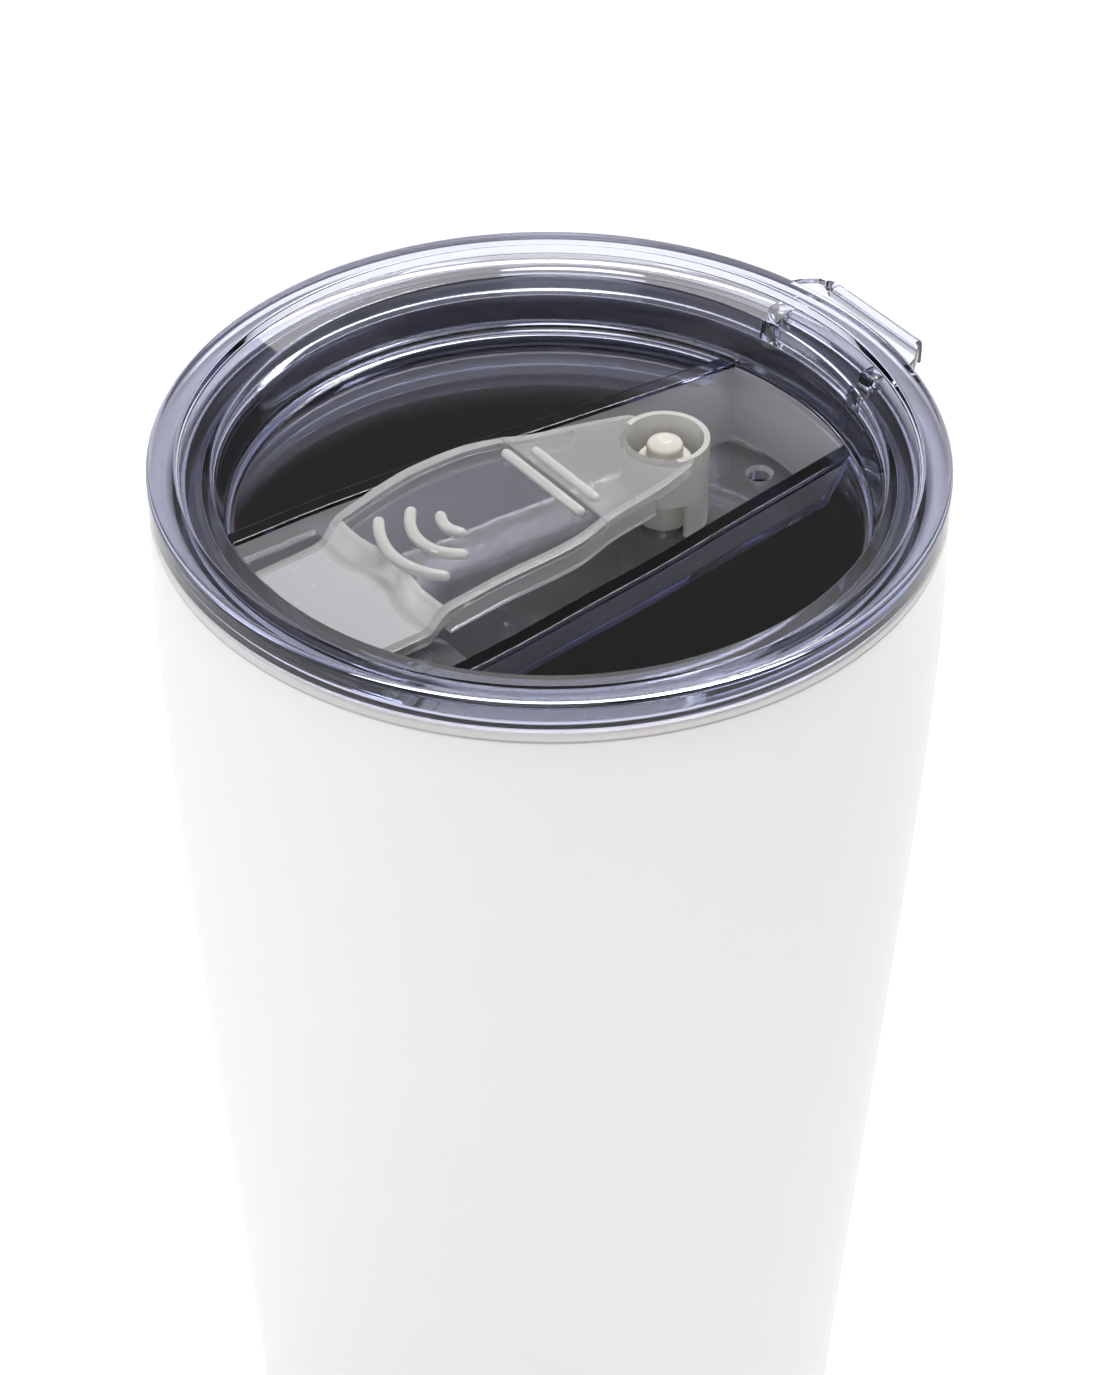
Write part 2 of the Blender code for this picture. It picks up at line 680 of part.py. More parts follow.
def snap_pin(group, mat):
    """Post that carries the boss and snaps through the channel floor."""
    top = depth(POST_TOP_DEPTH)
    shoulder = depth(along(DECK_CURVE, POST_Y)) - 0.0030 + FIT_GAP
    floor = depth(TROUGH_DEPTH) + FIT_GAP
    under = depth(TROUGH_DEPTH + FLOOR_THICK) - FIT_GAP
    stem = PIN_HOLE_RADIUS - FIT_GAP
    points = [
        (0.0, top),
        (POST_NUB_RADIUS * 0.6, top - 0.0003),
        (POST_NUB_RADIUS, top - 0.0010),
        (POST_NUB_RADIUS, shoulder + 0.0010),
        (POST_RADIUS + 0.0009, shoulder + 0.0007),
        (POST_RADIUS + 0.0009, shoulder),
        (POST_RADIUS, shoulder),
        (POST_RADIUS, floor),
        (stem, floor),
        (stem, under),
        (BARB_RADIUS, under),
        (BARB_RADIUS - 0.0002, under - 0.0005),
        (0.0010, under - 0.0020),
        (0.0, under - 0.0020),
    ]
    return turned("snap_pin", points, group, mat, steps=24, offset=(0.0, POST_Y))


def set_origin(thing, place):
    """Move an object's origin without moving its surface."""
    thing.data.transform(Matrix.Translation(-Vector(place)))
    thing.location = Vector(place)


# ---------------------------------------------------------------- build
def build():
    clear_scene()
    group = new_collection("insulated_tumbler")
    tools = new_collection("cutters")
    tools.hide_render = True
    white = make_material("white_coat", (0.85, 0.85, 0.85), 0.0, 0.35)
    steel = make_material("brushed_steel_cup", (0.55, 0.54, 0.53), 1.0, 0.3)
    plate = make_material("steel_plate", (0.50, 0.50, 0.50), 1.0, 0.4)
    cap = make_material("steel_cap", (0.60, 0.60, 0.60), 1.0, 0.3)
    solder = make_material("solder", (0.45, 0.45, 0.47), 1.0, 0.5)
    pill = make_material("getter_metal", (0.35, 0.35, 0.36), 1.0, 0.6)
    clear = make_material("clear_lid", (0.92, 0.93, 0.96), 0.0, 0.05, 1.0, 0.35)
    seal = make_material("clear_silicone", (0.85, 0.86, 0.88), 0.0, 0.4, 0.5, 0.6)
    milky = make_material("milky_flap", (0.85, 0.85, 0.86), 0.0, 0.25, 0.6, 0.7)
    milky_rear = make_material("milky_anchor", (0.84, 0.84, 0.84), 0.0, 0.25, 0.6, 0.7)
    cream = make_material("cream_post", (0.82, 0.80, 0.75), 0.0, 0.3, 0.2, 0.9)
    outer_shell(group, white)
    inner_liner(group, steel)
    base_plate(group, plate)
    vacuum_seal(group, solder)
    getter(group, pill)
    base_cap(group, cap)
    lid_body(group, tools, clear)
    lid_gasket(group, seal)
    flap_lever(group, tools, milky)
    flap_anchor(group, tools, milky_rear)
    snap_pin(group, cream)


build()
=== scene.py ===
import json
import math

import bpy
from mathutils import Matrix, Vector


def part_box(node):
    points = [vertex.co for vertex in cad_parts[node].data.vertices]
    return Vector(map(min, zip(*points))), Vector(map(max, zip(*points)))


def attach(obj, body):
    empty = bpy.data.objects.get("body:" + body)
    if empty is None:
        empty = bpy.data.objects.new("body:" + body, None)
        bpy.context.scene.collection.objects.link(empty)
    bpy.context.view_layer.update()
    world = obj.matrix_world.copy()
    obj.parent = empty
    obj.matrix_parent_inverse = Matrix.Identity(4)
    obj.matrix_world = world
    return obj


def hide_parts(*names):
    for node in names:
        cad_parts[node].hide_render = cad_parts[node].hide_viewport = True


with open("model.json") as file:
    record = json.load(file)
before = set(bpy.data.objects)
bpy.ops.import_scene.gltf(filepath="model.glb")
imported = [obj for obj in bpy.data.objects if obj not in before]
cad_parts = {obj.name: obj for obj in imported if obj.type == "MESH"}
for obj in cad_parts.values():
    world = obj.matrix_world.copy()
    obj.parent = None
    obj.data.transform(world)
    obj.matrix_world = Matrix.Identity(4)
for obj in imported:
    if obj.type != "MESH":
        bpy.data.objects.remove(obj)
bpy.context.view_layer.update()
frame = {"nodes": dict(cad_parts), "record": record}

TURN = math.tau
FINE = 144                      # segments of the turned pieces
SMOOTH = 0.6                    # edges sharper than this angle stay crisp
TINY = 0.000002                 # points closer than this are joined
MM = 0.001

# ------------------------------------------------------------ places taken from the CAD
lid_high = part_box("lid_body")[1]
LID_TOP = lid_high[2]
LID_EDGE = lid_high[0]
shell_low, shell_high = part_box("outer_shell")
liner_low, liner_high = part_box("inner_liner")
cap_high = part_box("base_cap")[1]
anchor_low, anchor_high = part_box("flap_anchor")
pin_low, pin_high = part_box("snap_pin")
gasket_low, gasket_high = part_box("lid_gasket")
RIM_Z = liner_high[2]
RIM_R = liner_high[0]
POST_Y = (pin_low[1] + pin_high[1]) / 2.0
hinge = next(j for j in frame["record"]["behaviour"]["joints"] if j["name"] == "flap_lift")
HINGE_Y = hinge["pos_m"][1]


def down(millimetres):
    """Height of a level given in millimetres below the lid's top ring."""
    return LID_TOP - millimetres * MM


# ------------------------------------------------------------ modelling helpers
def deselect():
    if bpy.context.object and bpy.context.object.mode != "OBJECT":
        bpy.ops.object.mode_set(mode="OBJECT")
    bpy.ops.object.select_all(action="DESELECT")


def pick(piece):
    deselect()
    piece.select_set(True)
    bpy.context.view_layer.objects.active = piece


def edit(piece):
    pick(piece)
    bpy.ops.object.mode_set(mode="EDIT")


def leave():
    bpy.ops.object.mode_set(mode="OBJECT")


def select_where(piece, test, kind="VERT"):
    """Select vertices or faces of the piece in edit mode by their place."""
    bpy.ops.mesh.select_mode(type=kind)
    bpy.ops.mesh.select_all(action="DESELECT")
    bpy.ops.object.mode_set(mode="OBJECT")
    mesh = piece.data
    if kind == "FACE":
        for face in mesh.polygons:
            face.select = bool(test(face.center, face.normal))
    else:
        for vert in mesh.vertices:
            vert.select = bool(test(vert.co))
    bpy.ops.object.mode_set(mode="EDIT")


def path(name, points, closed=False):
    """Draw a chain of edges by extruding one vertex along the points."""
    deselect()
    bpy.ops.mesh.primitive_plane_add(size=0.001, location=(0.0, 0.0, 0.0))
    piece = bpy.context.object
    piece.name = name
    piece.data.name = name
    bpy.ops.object.mode_set(mode="EDIT")
    bpy.ops.mesh.select_mode(type="VERT")
    bpy.ops.mesh.select_all(action="SELECT")
    bpy.ops.mesh.merge(type="CENTER")
    bpy.ops.transform.translate(value=points[0])
    for before, after in zip(points, points[1:]):
        step = (after[0] - before[0], after[1] - before[1], after[2] - before[2])
        bpy.ops.mesh.extrude_region_move(TRANSFORM_OT_translate={"value": step})
    if closed:
        bpy.ops.mesh.select_all(action="SELECT")
        bpy.ops.mesh.edge_face_add()
    return piece


def round_corners(points, segments=5):
    """Replace each corner of an outline of (radius, height, fillet) by a small arc."""
    result = []
    for index, (r, z, fillet) in enumerate(points):
        if fillet <= 0.0 or index in (0, len(points) - 1):
            result.append((r, z))
            continue
        here = Vector((r, z))
        back = Vector(points[index - 1][:2]) - here
        ahead = Vector(points[index + 1][:2]) - here
        angle = back.angle(ahead)
        if angle > 3.12:
            result.append((r, z))
            continue
        reach = min(fillet / math.tan(angle / 2.0), back.length * 0.49, ahead.length * 0.49)
        size = reach * math.tan(angle / 2.0)
        start = here + back.normalized() * reach
        finish = here + ahead.normalized() * reach
        middle = here + (back.normalized() + ahead.normalized()).normalized() * (
            size / math.sin(angle / 2.0))
        a0 = start - middle
        a1 = finish - middle
        swing = a0.angle_signed(a1)
        for count in range(segments + 1):
            share = -swing * count / segments
            arm = Vector((a0.x * math.cos(share) - a0.y * math.sin(share),
                          a0.x * math.sin(share) + a0.y * math.cos(share)))
            result.append(tuple(middle + arm))
    return result


def turned(name, points, steps=FINE, ring=False, centre=(0.0, 0.0)):
    """Spin an outline of (radius, height) points about an upright axis."""
    if ring:
        points = list(points) + [points[0]]
    piece = path(name, [(centre[0] + r, centre[1], z) for r, z in points])
    bpy.ops.mesh.select_all(action="SELECT")
    bpy.ops.mesh.spin(steps=steps, angle=TURN, center=(centre[0], centre[1], 0.0),
                      axis=(0.0, 0.0, 1.0))
    bpy.ops.mesh.select_all(action="SELECT")
    bpy.ops.mesh.remove_doubles(threshold=TINY)
    bpy.ops.mesh.select_all(action="SELECT")
    bpy.ops.mesh.normals_make_consistent(inside=False)
    leave()
    smooth_by(piece, SMOOTH)
    return piece


def smooth_by(piece, angle):
    pick(piece)
    bpy.ops.object.shade_smooth_by_angle(angle=angle)


def even_shading(piece, angle):
    """Smooth shading that keeps the large flat faces flat."""
    smooth_by(piece, angle)
    step = piece.modifiers.new("Even shading", "WEIGHTED_NORMAL")
    step.mode = "FACE_AREA"
    step.keep_sharp = True
    bpy.ops.object.modifier_apply(modifier=step.name)


def stacked(name, outline, levels):
    """Draw an outline, fill it and pull it up through (height, x scale, y scale) levels."""
    z0, sx0, sy0 = levels[0]
    piece = path(name, [(x * sx0, y * sy0, z0) for x, y in outline], closed=True)
    bpy.ops.mesh.select_mode(type="FACE")
    bpy.ops.mesh.select_all(action="SELECT")
    for (za, sxa, sya), (zb, sxb, syb) in zip(levels, levels[1:]):
        bpy.ops.mesh.extrude_region_move(TRANSFORM_OT_translate={"value": (0.0, 0.0, zb - za)})
        bpy.ops.transform.resize(value=(sxb / sxa, syb / sya, 1.0), center_override=(0.0, 0.0, zb))
    bpy.ops.mesh.select_all(action="SELECT")
    bpy.ops.mesh.normals_make_consistent(inside=False)
    leave()
    return piece


def combine(piece, tool, kind):
    """Apply a Boolean with the tool, then throw the tool away."""
    pick(piece)
    step = piece.modifiers.new("Shape", "BOOLEAN")
    step.operation = kind
    step.solver = "EXACT"
    step.material_mode = "TRANSFER"
    step.object = tool
    bpy.ops.object.modifier_apply(modifier=step.name)
    bpy.data.objects.remove(tool, do_unlink=True)


def soften(piece, width, segments=2, angle=0.6):
    """Round the sharp edges of a piece."""
    pick(piece)
    step = piece.modifiers.new("Soft edges", "BEVEL")
    step.width = width
    step.segments = segments
    step.limit_method = "ANGLE"
    step.angle_limit = angle
    step.use_clamp_overlap = True
    bpy.ops.object.modifier_apply(modifier=step.name)


def block_tool(size, place, round_by=0.0):
    """Block of the given size about a place, with its edges rounded if asked."""
    deselect()
    bpy.ops.mesh.primitive_cube_add(size=1.0)
    tool = bpy.context.object
    bpy.ops.object.mode_set(mode="EDIT")
    bpy.ops.transform.resize(value=size)
    if round_by:
        bpy.ops.mesh.bevel(offset=round_by, segments=3)
    bpy.ops.transform.translate(value=place)
    leave()
    return tool


def paint(piece, index, test):
    """Give the faces that pass the test the material with this number."""
    select_where(piece, test, "FACE")
    piece.active_material_index = index
    bpy.ops.object.material_slot_assign()


def between(table, where):
    """Smoothly read a value from sorted (place, value) pairs."""
    if where <= table[0][0]:
        return table[0][1]
    for index in range(len(table) - 1):
        p0, v0 = table[index]
        p1, v1 = table[index + 1]
        if where <= p1:
            share = (where - p0) / (p1 - p0)
            before = table[index - 1] if index > 0 else (2 * p0 - p1, 2 * v0 - v1)
            after = table[index + 2] if index + 2 < len(table) else (2 * p1 - p0, 2 * v1 - v0)
            m0 = (v1 - before[1]) / (p1 - before[0]) * (p1 - p0)
            m1 = (after[1] - v0) / (after[0] - p0) * (p1 - p0)
            s2, s3 = share * share, share ** 3
            return ((2 * s3 - 3 * s2 + 1) * v0 + (s3 - 2 * s2 + share) * m0
                    + (-2 * s3 + 3 * s2) * v1 + (s3 - s2) * m1)
    return table[-1][1]


# ------------------------------------------------------------ material helpers
def new_material(name):
    mat = bpy.data.materials.new(name)
    mat.use_nodes = True
    tree = mat.node_tree
    shader = tree.nodes.get("Principled BSDF")
    return mat, tree, shader


def put(tree, kind, **values):
    node = tree.nodes.new(kind)
    for key, value in values.items():
        setattr(node, key, value)
    return node


def turned_grain():
    """Shader group: fine lines that run round an upright axis."""
    group = bpy.data.node_groups.new("turned grain", "ShaderNodeTree")
    face = group.interface
    face.new_socket("Lines", in_out="INPUT", socket_type="NodeSocketFloat")
    face.new_socket("Patches", in_out="INPUT", socket_type="NodeSocketFloat")
    face.new_socket("Grain", in_out="OUTPUT", socket_type="NodeSocketFloat")
    face.new_socket("Cloud", in_out="OUTPUT", socket_type="NodeSocketFloat")
    start = put(group, "NodeGroupInput")
    end = put(group, "NodeGroupOutput")
    place = put(group, "ShaderNodeTexCoord")
    split = put(group, "ShaderNodeSeparateXYZ")
    group.links.new(place.outputs["Object"], split.inputs[0])
    angle = put(group, "ShaderNodeMath", operation="ARCTAN2")
    group.links.new(split.outputs["Y"], angle.inputs[0])
    group.links.new(split.outputs["X"], angle.inputs[1])
    sine = put(group, "ShaderNodeMath", operation="SINE")
    group.links.new(angle.outputs[0], sine.inputs[0])
    cosine = put(group, "ShaderNodeMath", operation="COSINE")
    group.links.new(angle.outputs[0], cosine.inputs[0])
    reach = put(group, "ShaderNodeVectorMath", operation="LENGTH")
    flat = put(group, "ShaderNodeCombineXYZ")
    group.links.new(split.outputs["X"], flat.inputs["X"])
    group.links.new(split.outputs["Y"], flat.inputs["Y"])
    group.links.new(flat.outputs[0], reach.inputs[0])
    fine = put(group, "ShaderNodeMath", operation="MULTIPLY")
    total = put(group, "ShaderNodeMath", operation="ADD")
    group.links.new(reach.outputs["Value"], total.inputs[0])
    group.links.new(split.outputs["Z"], total.inputs[1])
    group.links.new(total.outputs[0], fine.inputs[0])
    group.links.new(start.outputs["Lines"], fine.inputs[1])
    packed = put(group, "ShaderNodeCombineXYZ")
    group.links.new(sine.outputs[0], packed.inputs["X"])
    group.links.new(cosine.outputs[0], packed.inputs["Y"])
    group.links.new(fine.outputs[0], packed.inputs["Z"])
    noise = put(group, "ShaderNodeTexNoise")
    noise.inputs["Scale"].default_value = 1.6
    noise.inputs["Detail"].default_value = 3.0
    group.links.new(packed.outputs[0], noise.inputs["Vector"])
    cloud = put(group, "ShaderNodeTexNoise")
    cloud.inputs["Detail"].default_value = 2.0
    group.links.new(place.outputs["Object"], cloud.inputs["Vector"])
    group.links.new(start.outputs["Patches"], cloud.inputs["Scale"])
    group.links.new(noise.outputs["Fac"], end.inputs["Grain"])
    group.links.new(cloud.outputs["Fac"], end.inputs["Cloud"])
    return group


def fine_specks():
    """Shader group: soft clouding and small pits on a moulded or coated surface."""
    group = bpy.data.node_groups.new("fine specks", "ShaderNodeTree")
    face = group.interface
    face.new_socket("Fine", in_out="INPUT", socket_type="NodeSocketFloat")
    face.new_socket("Broad", in_out="INPUT", socket_type="NodeSocketFloat")
    face.new_socket("Pits", in_out="OUTPUT", socket_type="NodeSocketFloat")
    face.new_socket("Cloud", in_out="OUTPUT", socket_type="NodeSocketFloat")
    start = put(group, "NodeGroupInput")
    end = put(group, "NodeGroupOutput")
    place = put(group, "ShaderNodeTexCoord")
    pits = put(group, "ShaderNodeTexNoise")
    pits.inputs["Detail"].default_value = 4.0
    cloud = put(group, "ShaderNodeTexNoise")
    cloud.inputs["Detail"].default_value = 2.0
    group.links.new(place.outputs["Object"], pits.inputs["Vector"])
    group.links.new(place.outputs["Object"], cloud.inputs["Vector"])
    group.links.new(start.outputs["Fine"], pits.inputs["Scale"])
    group.links.new(start.outputs["Broad"], cloud.inputs["Scale"])
    group.links.new(pits.outputs["Fac"], end.inputs["Pits"])
    group.links.new(cloud.outputs["Fac"], end.inputs["Cloud"])
    return group


GRAIN = turned_grain()
SPECKS = fine_specks()


def use_group(tree, group, **values):
    node = put(tree, "ShaderNodeGroup")
    node.node_tree = group
    for key, value in values.items():
        node.inputs[key].default_value = value
    return node


def spread(tree, source, low, high, start=0.3, finish=0.7):
    """Map a noise value to a range."""
    node = put(tree, "ShaderNodeMapRange")
    node.inputs["From Min"].default_value = start
    node.inputs["From Max"].default_value = finish
    node.inputs["To Min"].default_value = low
    node.inputs["To Max"].default_value = high
    tree.links.new(source, node.inputs["Value"])
    return node.outputs["Result"]


def tint(tree, source, first, second):
    node = put(tree, "ShaderNodeMix", data_type="RGBA")
    node.inputs["A"].default_value = (*first, 1.0)
    node.inputs["B"].default_value = (*second, 1.0)
    tree.links.new(source, node.inputs["Factor"])
    return node.outputs["Result"]


def bump(tree, source, shader, strength, distance):
    node = put(tree, "ShaderNodeBump")
    node.inputs["Strength"].default_value = strength
    node.inputs["Distance"].default_value = distance
    tree.links.new(source, node.inputs["Height"])
    tree.links.new(node.outputs["Normal"], shader.inputs["Normal"])


def powder_coat():
    mat, tree, shader = new_material("white powder coat")
    specks = use_group(tree, SPECKS, Fine=1400.0, Broad=14.0)
    colour = tint(tree, specks.outputs["Cloud"], (0.85, 0.845, 0.85), (0.87, 0.865, 0.868))
    tree.links.new(colour, shader.inputs["Base Color"])
    tree.links.new(spread(tree, specks.outputs["Pits"], 0.36, 0.46), shader.inputs["Roughness"])
    bump(tree, specks.outputs["Pits"], shader, 0.12, 0.00004)
    shader.inputs["Specular IOR Level"].default_value = 0.4
    return mat


def turned_steel(name, dark, light, rough, lines, strength):
    mat, tree, shader = new_material(name)
    shader.inputs["Metallic"].default_value = 1.0
    grain = use_group(tree, GRAIN, Lines=lines, Patches=30.0)
    colour = tint(tree, grain.outputs["Grain"], dark, light)
    tree.links.new(colour, shader.inputs["Base Color"])
    tree.links.new(spread(tree, grain.outputs["Cloud"], rough - 0.03, rough + 0.05),
                   shader.inputs["Roughness"])
    bump(tree, grain.outputs["Grain"], shader, strength, 0.00003)
    return mat


def dull_metal(name, dark, light, rough):
    mat, tree, shader = new_material(name)
    shader.inputs["Metallic"].default_value = 1.0
    specks = use_group(tree, SPECKS, Fine=2600.0, Broad=180.0)
    tree.links.new(tint(tree, specks.outputs["Cloud"], dark, light), shader.inputs["Base Color"])
    tree.links.new(spread(tree, specks.outputs["Pits"], rough - 0.08, rough + 0.08),
                   shader.inputs["Roughness"])
    bump(tree, specks.outputs["Pits"], shader, 0.4, 0.00005)
    return mat


def clear_plastic(name, through, low, high):
    """Clear moulding; long ways through it turn blue."""
    mat, tree, shader = new_material(name)
    specks = use_group(tree, SPECKS, Fine=900.0, Broad=60.0)
    colour = tint(tree, specks.outputs["Cloud"], (0.96, 0.965, 1.0), (0.98, 0.985, 1.0))
    tree.links.new(colour, shader.inputs["Base Color"])
    tree.links.new(spread(tree, specks.outputs["Pits"], low, high), shader.inputs["Roughness"])
    shader.inputs["IOR"].default_value = 1.56
    shader.inputs["Transmission Weight"].default_value = through
    depth = put(tree, "ShaderNodeVolumeAbsorption")
    depth.inputs["Color"].default_value = (0.04, 0.13, 0.66, 1.0)
    depth.inputs["Density"].default_value = 48.0
    tree.links.new(depth.outputs["Volume"], tree.nodes["Material Output"].inputs["Volume"])
    return mat


def milky_plastic(name, first, second, through, rough):
    mat, tree, shader = new_material(name)
    specks = use_group(tree, SPECKS, Fine=1100.0, Broad=120.0)
    tree.links.new(tint(tree, specks.outputs["Cloud"], first, second), shader.inputs["Base Color"])
    tree.links.new(spread(tree, specks.outputs["Pits"], rough - 0.03, rough + 0.04),
                   shader.inputs["Roughness"])
    shader.inputs["IOR"].default_value = 1.45
    shader.inputs["Transmission Weight"].default_value = through
    return mat


def join_frame(piece, body, node):
    """Hang the piece on the empty of the body that carries it and hide the CAD node it stands in for.
    """
    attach(piece, body)
    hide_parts(node)


def finish_piece(piece, mat, body, node):
    piece.data.materials.clear()
    piece.data.materials.append(mat)
    join_frame(piece, body, node)


# ------------------------------------------------------------ steel body
# height above the table and outer radius, mm
BELLY = [(0.0, 34.05), (4.0, 34.2), (30.0, 36.05), (60.0, 38.1), (90.0, 40.3), (112.0, 41.85),
         (130.0, 43.05), (142.0, 43.68), (152.0, 44.02), (160.0, 44.06), (166.6, 43.93)]
SHELL_WALL = 0.6
LINER_WALL = 0.5
CUP_INSET = 4.1                 # outer face of the shell to the inside of the cup
CORNER = 3.0                    # radius of the base corner
CORNER_TOP = 4.0                # the side begins here
SIDE_STEPS = 34
CORNER_STEPS = 8


def body_r(z_mm):
    return between(BELLY, z_mm)


def make_shell():
    """Tapered side, rounded corner and a short foot that turns in round the base disc."""
    top = shell_high[2] / MM
    low = shell_low[2] / MM
    ease = 0.35
    drop = top - CORNER_TOP - ease
    rise = [top - ease - drop * i / SIDE_STEPS for i in range(SIDE_STEPS + 1)]
    hub = body_r(CORNER_TOP) - CORNER
    outside = [(body_r(top) - ease, top), (body_r(top) - 0.12, top - 0.08)]
    outside += [(body_r(z), z) for z in rise]
    for step in range(1, CORNER_STEPS + 1):
        swing = math.radians(90.0 * step / CORNER_STEPS)
        outside.append((hub + CORNER * math.cos(swing), low + CORNER - CORNER * math.sin(swing)))
    foot = cap_high[0] / MM + 1.1
    outside += [(foot + 0.3, low), (foot, low + 0.2), (foot, low + SHELL_WALL)]
    inside = [(hub, low + SHELL_WALL)]
    bend = CORNER - SHELL_WALL
    for step in range(CORNER_STEPS - 1, -1, -1):
        swing = math.radians(90.0 * step / CORNER_STEPS)
        inside.append((hub + bend * math.cos(swing), low + CORNER - bend * math.sin(swing)))
    inside += [(body_r(z) - SHELL_WALL, z) for z in rise[::-1][1:]]
    inside += [(body_r(top) - SHELL_WALL, top)]
    outline = [(r * MM, z * MM) for r, z in outside + inside]
    piece = turned("body_shell", outline, ring=True)
    finish_piece(piece, powder_coat(), "cup", "outer_shell")


def by_height(tree, height, levels):
    """Value that changes with height, from (place, value) pairs."""
    ramp = put(tree, "ShaderNodeValToRGB")
    steps = ramp.color_ramp.elements
    steps.remove(steps[1])
    steps[0].position, steps[0].color = levels[0][0], (*(levels[0][1],) * 3, 1.0)
    for place, value in levels[1:]:
        steps.new(place).color = (value, value, value, 1.0)
    tree.links.new(height, ramp.inputs["Fac"])
    return ramp.outputs["Color"]


def cup_steel():
    """Brushed steel with light and shade painted in by height: pale rim and bright half-matt step as
    painted highlight, grey neck, and a dark brown deep wall that is painted shade.
    """
    mat, tree, shader = new_material("brushed steel liner")
    grain = use_group(tree, GRAIN, Lines=5200.0, Patches=30.0)
    bright = tint(tree, grain.outputs["Grain"], (0.62, 0.61, 0.61), (0.80, 0.79, 0.79))
    # dark brown colour of the deep wall: painted shade of the cup's inside
    dark = tint(tree, grain.outputs["Cloud"], (0.150, 0.096, 0.062), (0.200, 0.132, 0.090))
    place = put(tree, "ShaderNodeTexCoord")
    split = put(tree, "ShaderNodeSeparateXYZ")
    tree.links.new(place.outputs["Object"], split.inputs[0])
    height = spread(tree, split.outputs["Z"], 0.0, 1.0, down(24.0), down(4.0))
    # share of the pale steel by height: painted highlight on the rim and the step, darker neck,
    # painted shade on the deep wall
    painted_light_and_shade = by_height(tree, height, ((0.05, 0.0), (0.18, 0.85), (0.34, 1.0),
                                     (0.42, 0.28), (0.86, 0.28), (0.92, 0.9)))
    rough = by_height(tree, height, ((0.0, 0.55), (0.34, 0.55), (0.42, 0.33),
                                     (0.86, 0.33), (0.92, 0.6)))
    bare = by_height(tree, height, ((0.0, 1.0), (0.10, 1.0), (0.18, 0.45),
                                    (0.34, 0.45), (0.42, 1.0)))
    tree.links.new(bare, shader.inputs["Metallic"])
    mix = put(tree, "ShaderNodeMix", data_type="RGBA")
    tree.links.new(painted_light_and_shade, mix.inputs["Factor"])
    tree.links.new(dark, mix.inputs["A"])
    tree.links.new(bright, mix.inputs["B"])
    tree.links.new(mix.outputs["Result"], shader.inputs["Base Color"])
    tree.links.new(rough, shader.inputs["Roughness"])
    bump(tree, grain.outputs["Grain"], shader, 0.25, 0.00003)
    return mat


NECK_R = 40.9
# depth below the lid's top ring and inner radius of the step, mm
CUP_WALL = [(15.6, NECK_R), (16.2, NECK_R - 0.04), (16.8, NECK_R - 0.28),
            (17.4, NECK_R - 0.62), (18.0, NECK_R - 0.82), (18.8, NECK_R - 0.9),
            (20.0, NECK_R - 0.93)]
# heights above the table where the deep wall has a point, mm
DEEP_WALL = [149.0, 142.0, 130.0, 118.0, 105.0, 90.0, 75.0, 60.0, 45.0, 30.0, 20.0]


def make_liner():
    top = RIM_Z / MM
    rim = RIM_R / MM
    thick = LINER_WALL
    floor = liner_low[2] / MM + thick
    inner = rim - 2.7
    inside_r = [(r, LID_TOP / MM - d) for d, r in CUP_WALL]
    inside_r += [(body_r(z) - CUP_INSET, z) for z in DEEP_WALL]
    bottom = body_r(floor + 6.0) - CUP_INSET
    points = [(rim - 0.9, top, 0.0), (rim, top, 0.85), (rim + 0.03, top - 1.1, 0.15),
              (rim - 2.1, top - 1.1, 0.2)]
    points += [(r + thick, z, 0.0) for r, z in inside_r]
    points += [(bottom + thick, floor + 5.0, 0.0), (bottom + 0.2, floor - 0.2, 4.0),
               (bottom - 9.0, floor - thick, 2.0), (0.0, floor - thick, 0.0)]
    lower = round_corners(points, 6)
    points = [(0.0, floor, 0.0), (bottom - 9.0, floor, 2.0), (bottom - 0.5, floor + 0.5, 4.5),
              (bottom, floor + 6.5, 0.0)]
    points += [(r, z, 0.0) for r, z in inside_r[::-1]]
    points += [(inner, top - 3.0, 0.4), (inner, top, 1.1), (inner + 1.8, top, 0.0)]
    upper = round_corners(points, 6)
    outline = [(r * MM, z * MM) for r, z in lower + upper]
    piece = turned("steel_liner", outline)
    edit(piece)
    bpy.ops.mesh.select_all(action="SELECT")
    bpy.ops.mesh.delete_loose(use_verts=True, use_edges=True, use_faces=False)
    bpy.ops.mesh.select_all(action="SELECT")
    bpy.ops.mesh.normals_make_consistent(inside=False)
    leave()
    smooth_by(piece, SMOOTH)
    finish_piece(piece, cup_steel(), "cup", "inner_liner")


def make_base():
    """Spun disc with a flat underside, a pressed ring in it and a low rim on its upper side."""
    edge = cap_high[0] / MM
    high = cap_high[2] / MM
    points = [(0.0, 0.0, 0.0), (22.0, 0.0, 0.1), (22.3, 0.25, 0.1), (23.0, 0.25, 0.1),
              (23.3, 0.0, 0.1), (edge, 0.0, 0.5), (edge, high, 0.2), (edge - 1.0, high, 0.2),
              (edge - 1.0, 1.2, 0.3), (0.0, 1.2, 0.0)]
    outline = [(r * MM, z * MM) for r, z in round_corners(points, 4)]
    piece = turned("base_disc", outline)
    steel = turned_steel("spun steel base", (0.45, 0.45, 0.45), (0.68, 0.68, 0.67),
                         0.26, 2600.0, 0.35)
    finish_piece(piece, steel, "cup", "base_cap")


def dress_hidden_nodes():
    plate = turned_steel("pressed plate", (0.42, 0.42, 0.42), (0.6, 0.6, 0.6), 0.34, 1500.0, 0.3)
    solder = dull_metal("dull solder", (0.36, 0.36, 0.38), (0.5, 0.5, 0.52), 0.5)
    pill = dull_metal("sintered pill", (0.2, 0.2, 0.21), (0.34, 0.34, 0.35), 0.65)
    for node, mat in (("base_plate", plate), ("vacuum_seal", solder), ("getter_pill", pill)):
        pieces = frame["nodes"][node]
        for piece in pieces if isinstance(pieces, list) else [pieces]:
            for entry in piece.material_slots:
                entry.material = mat


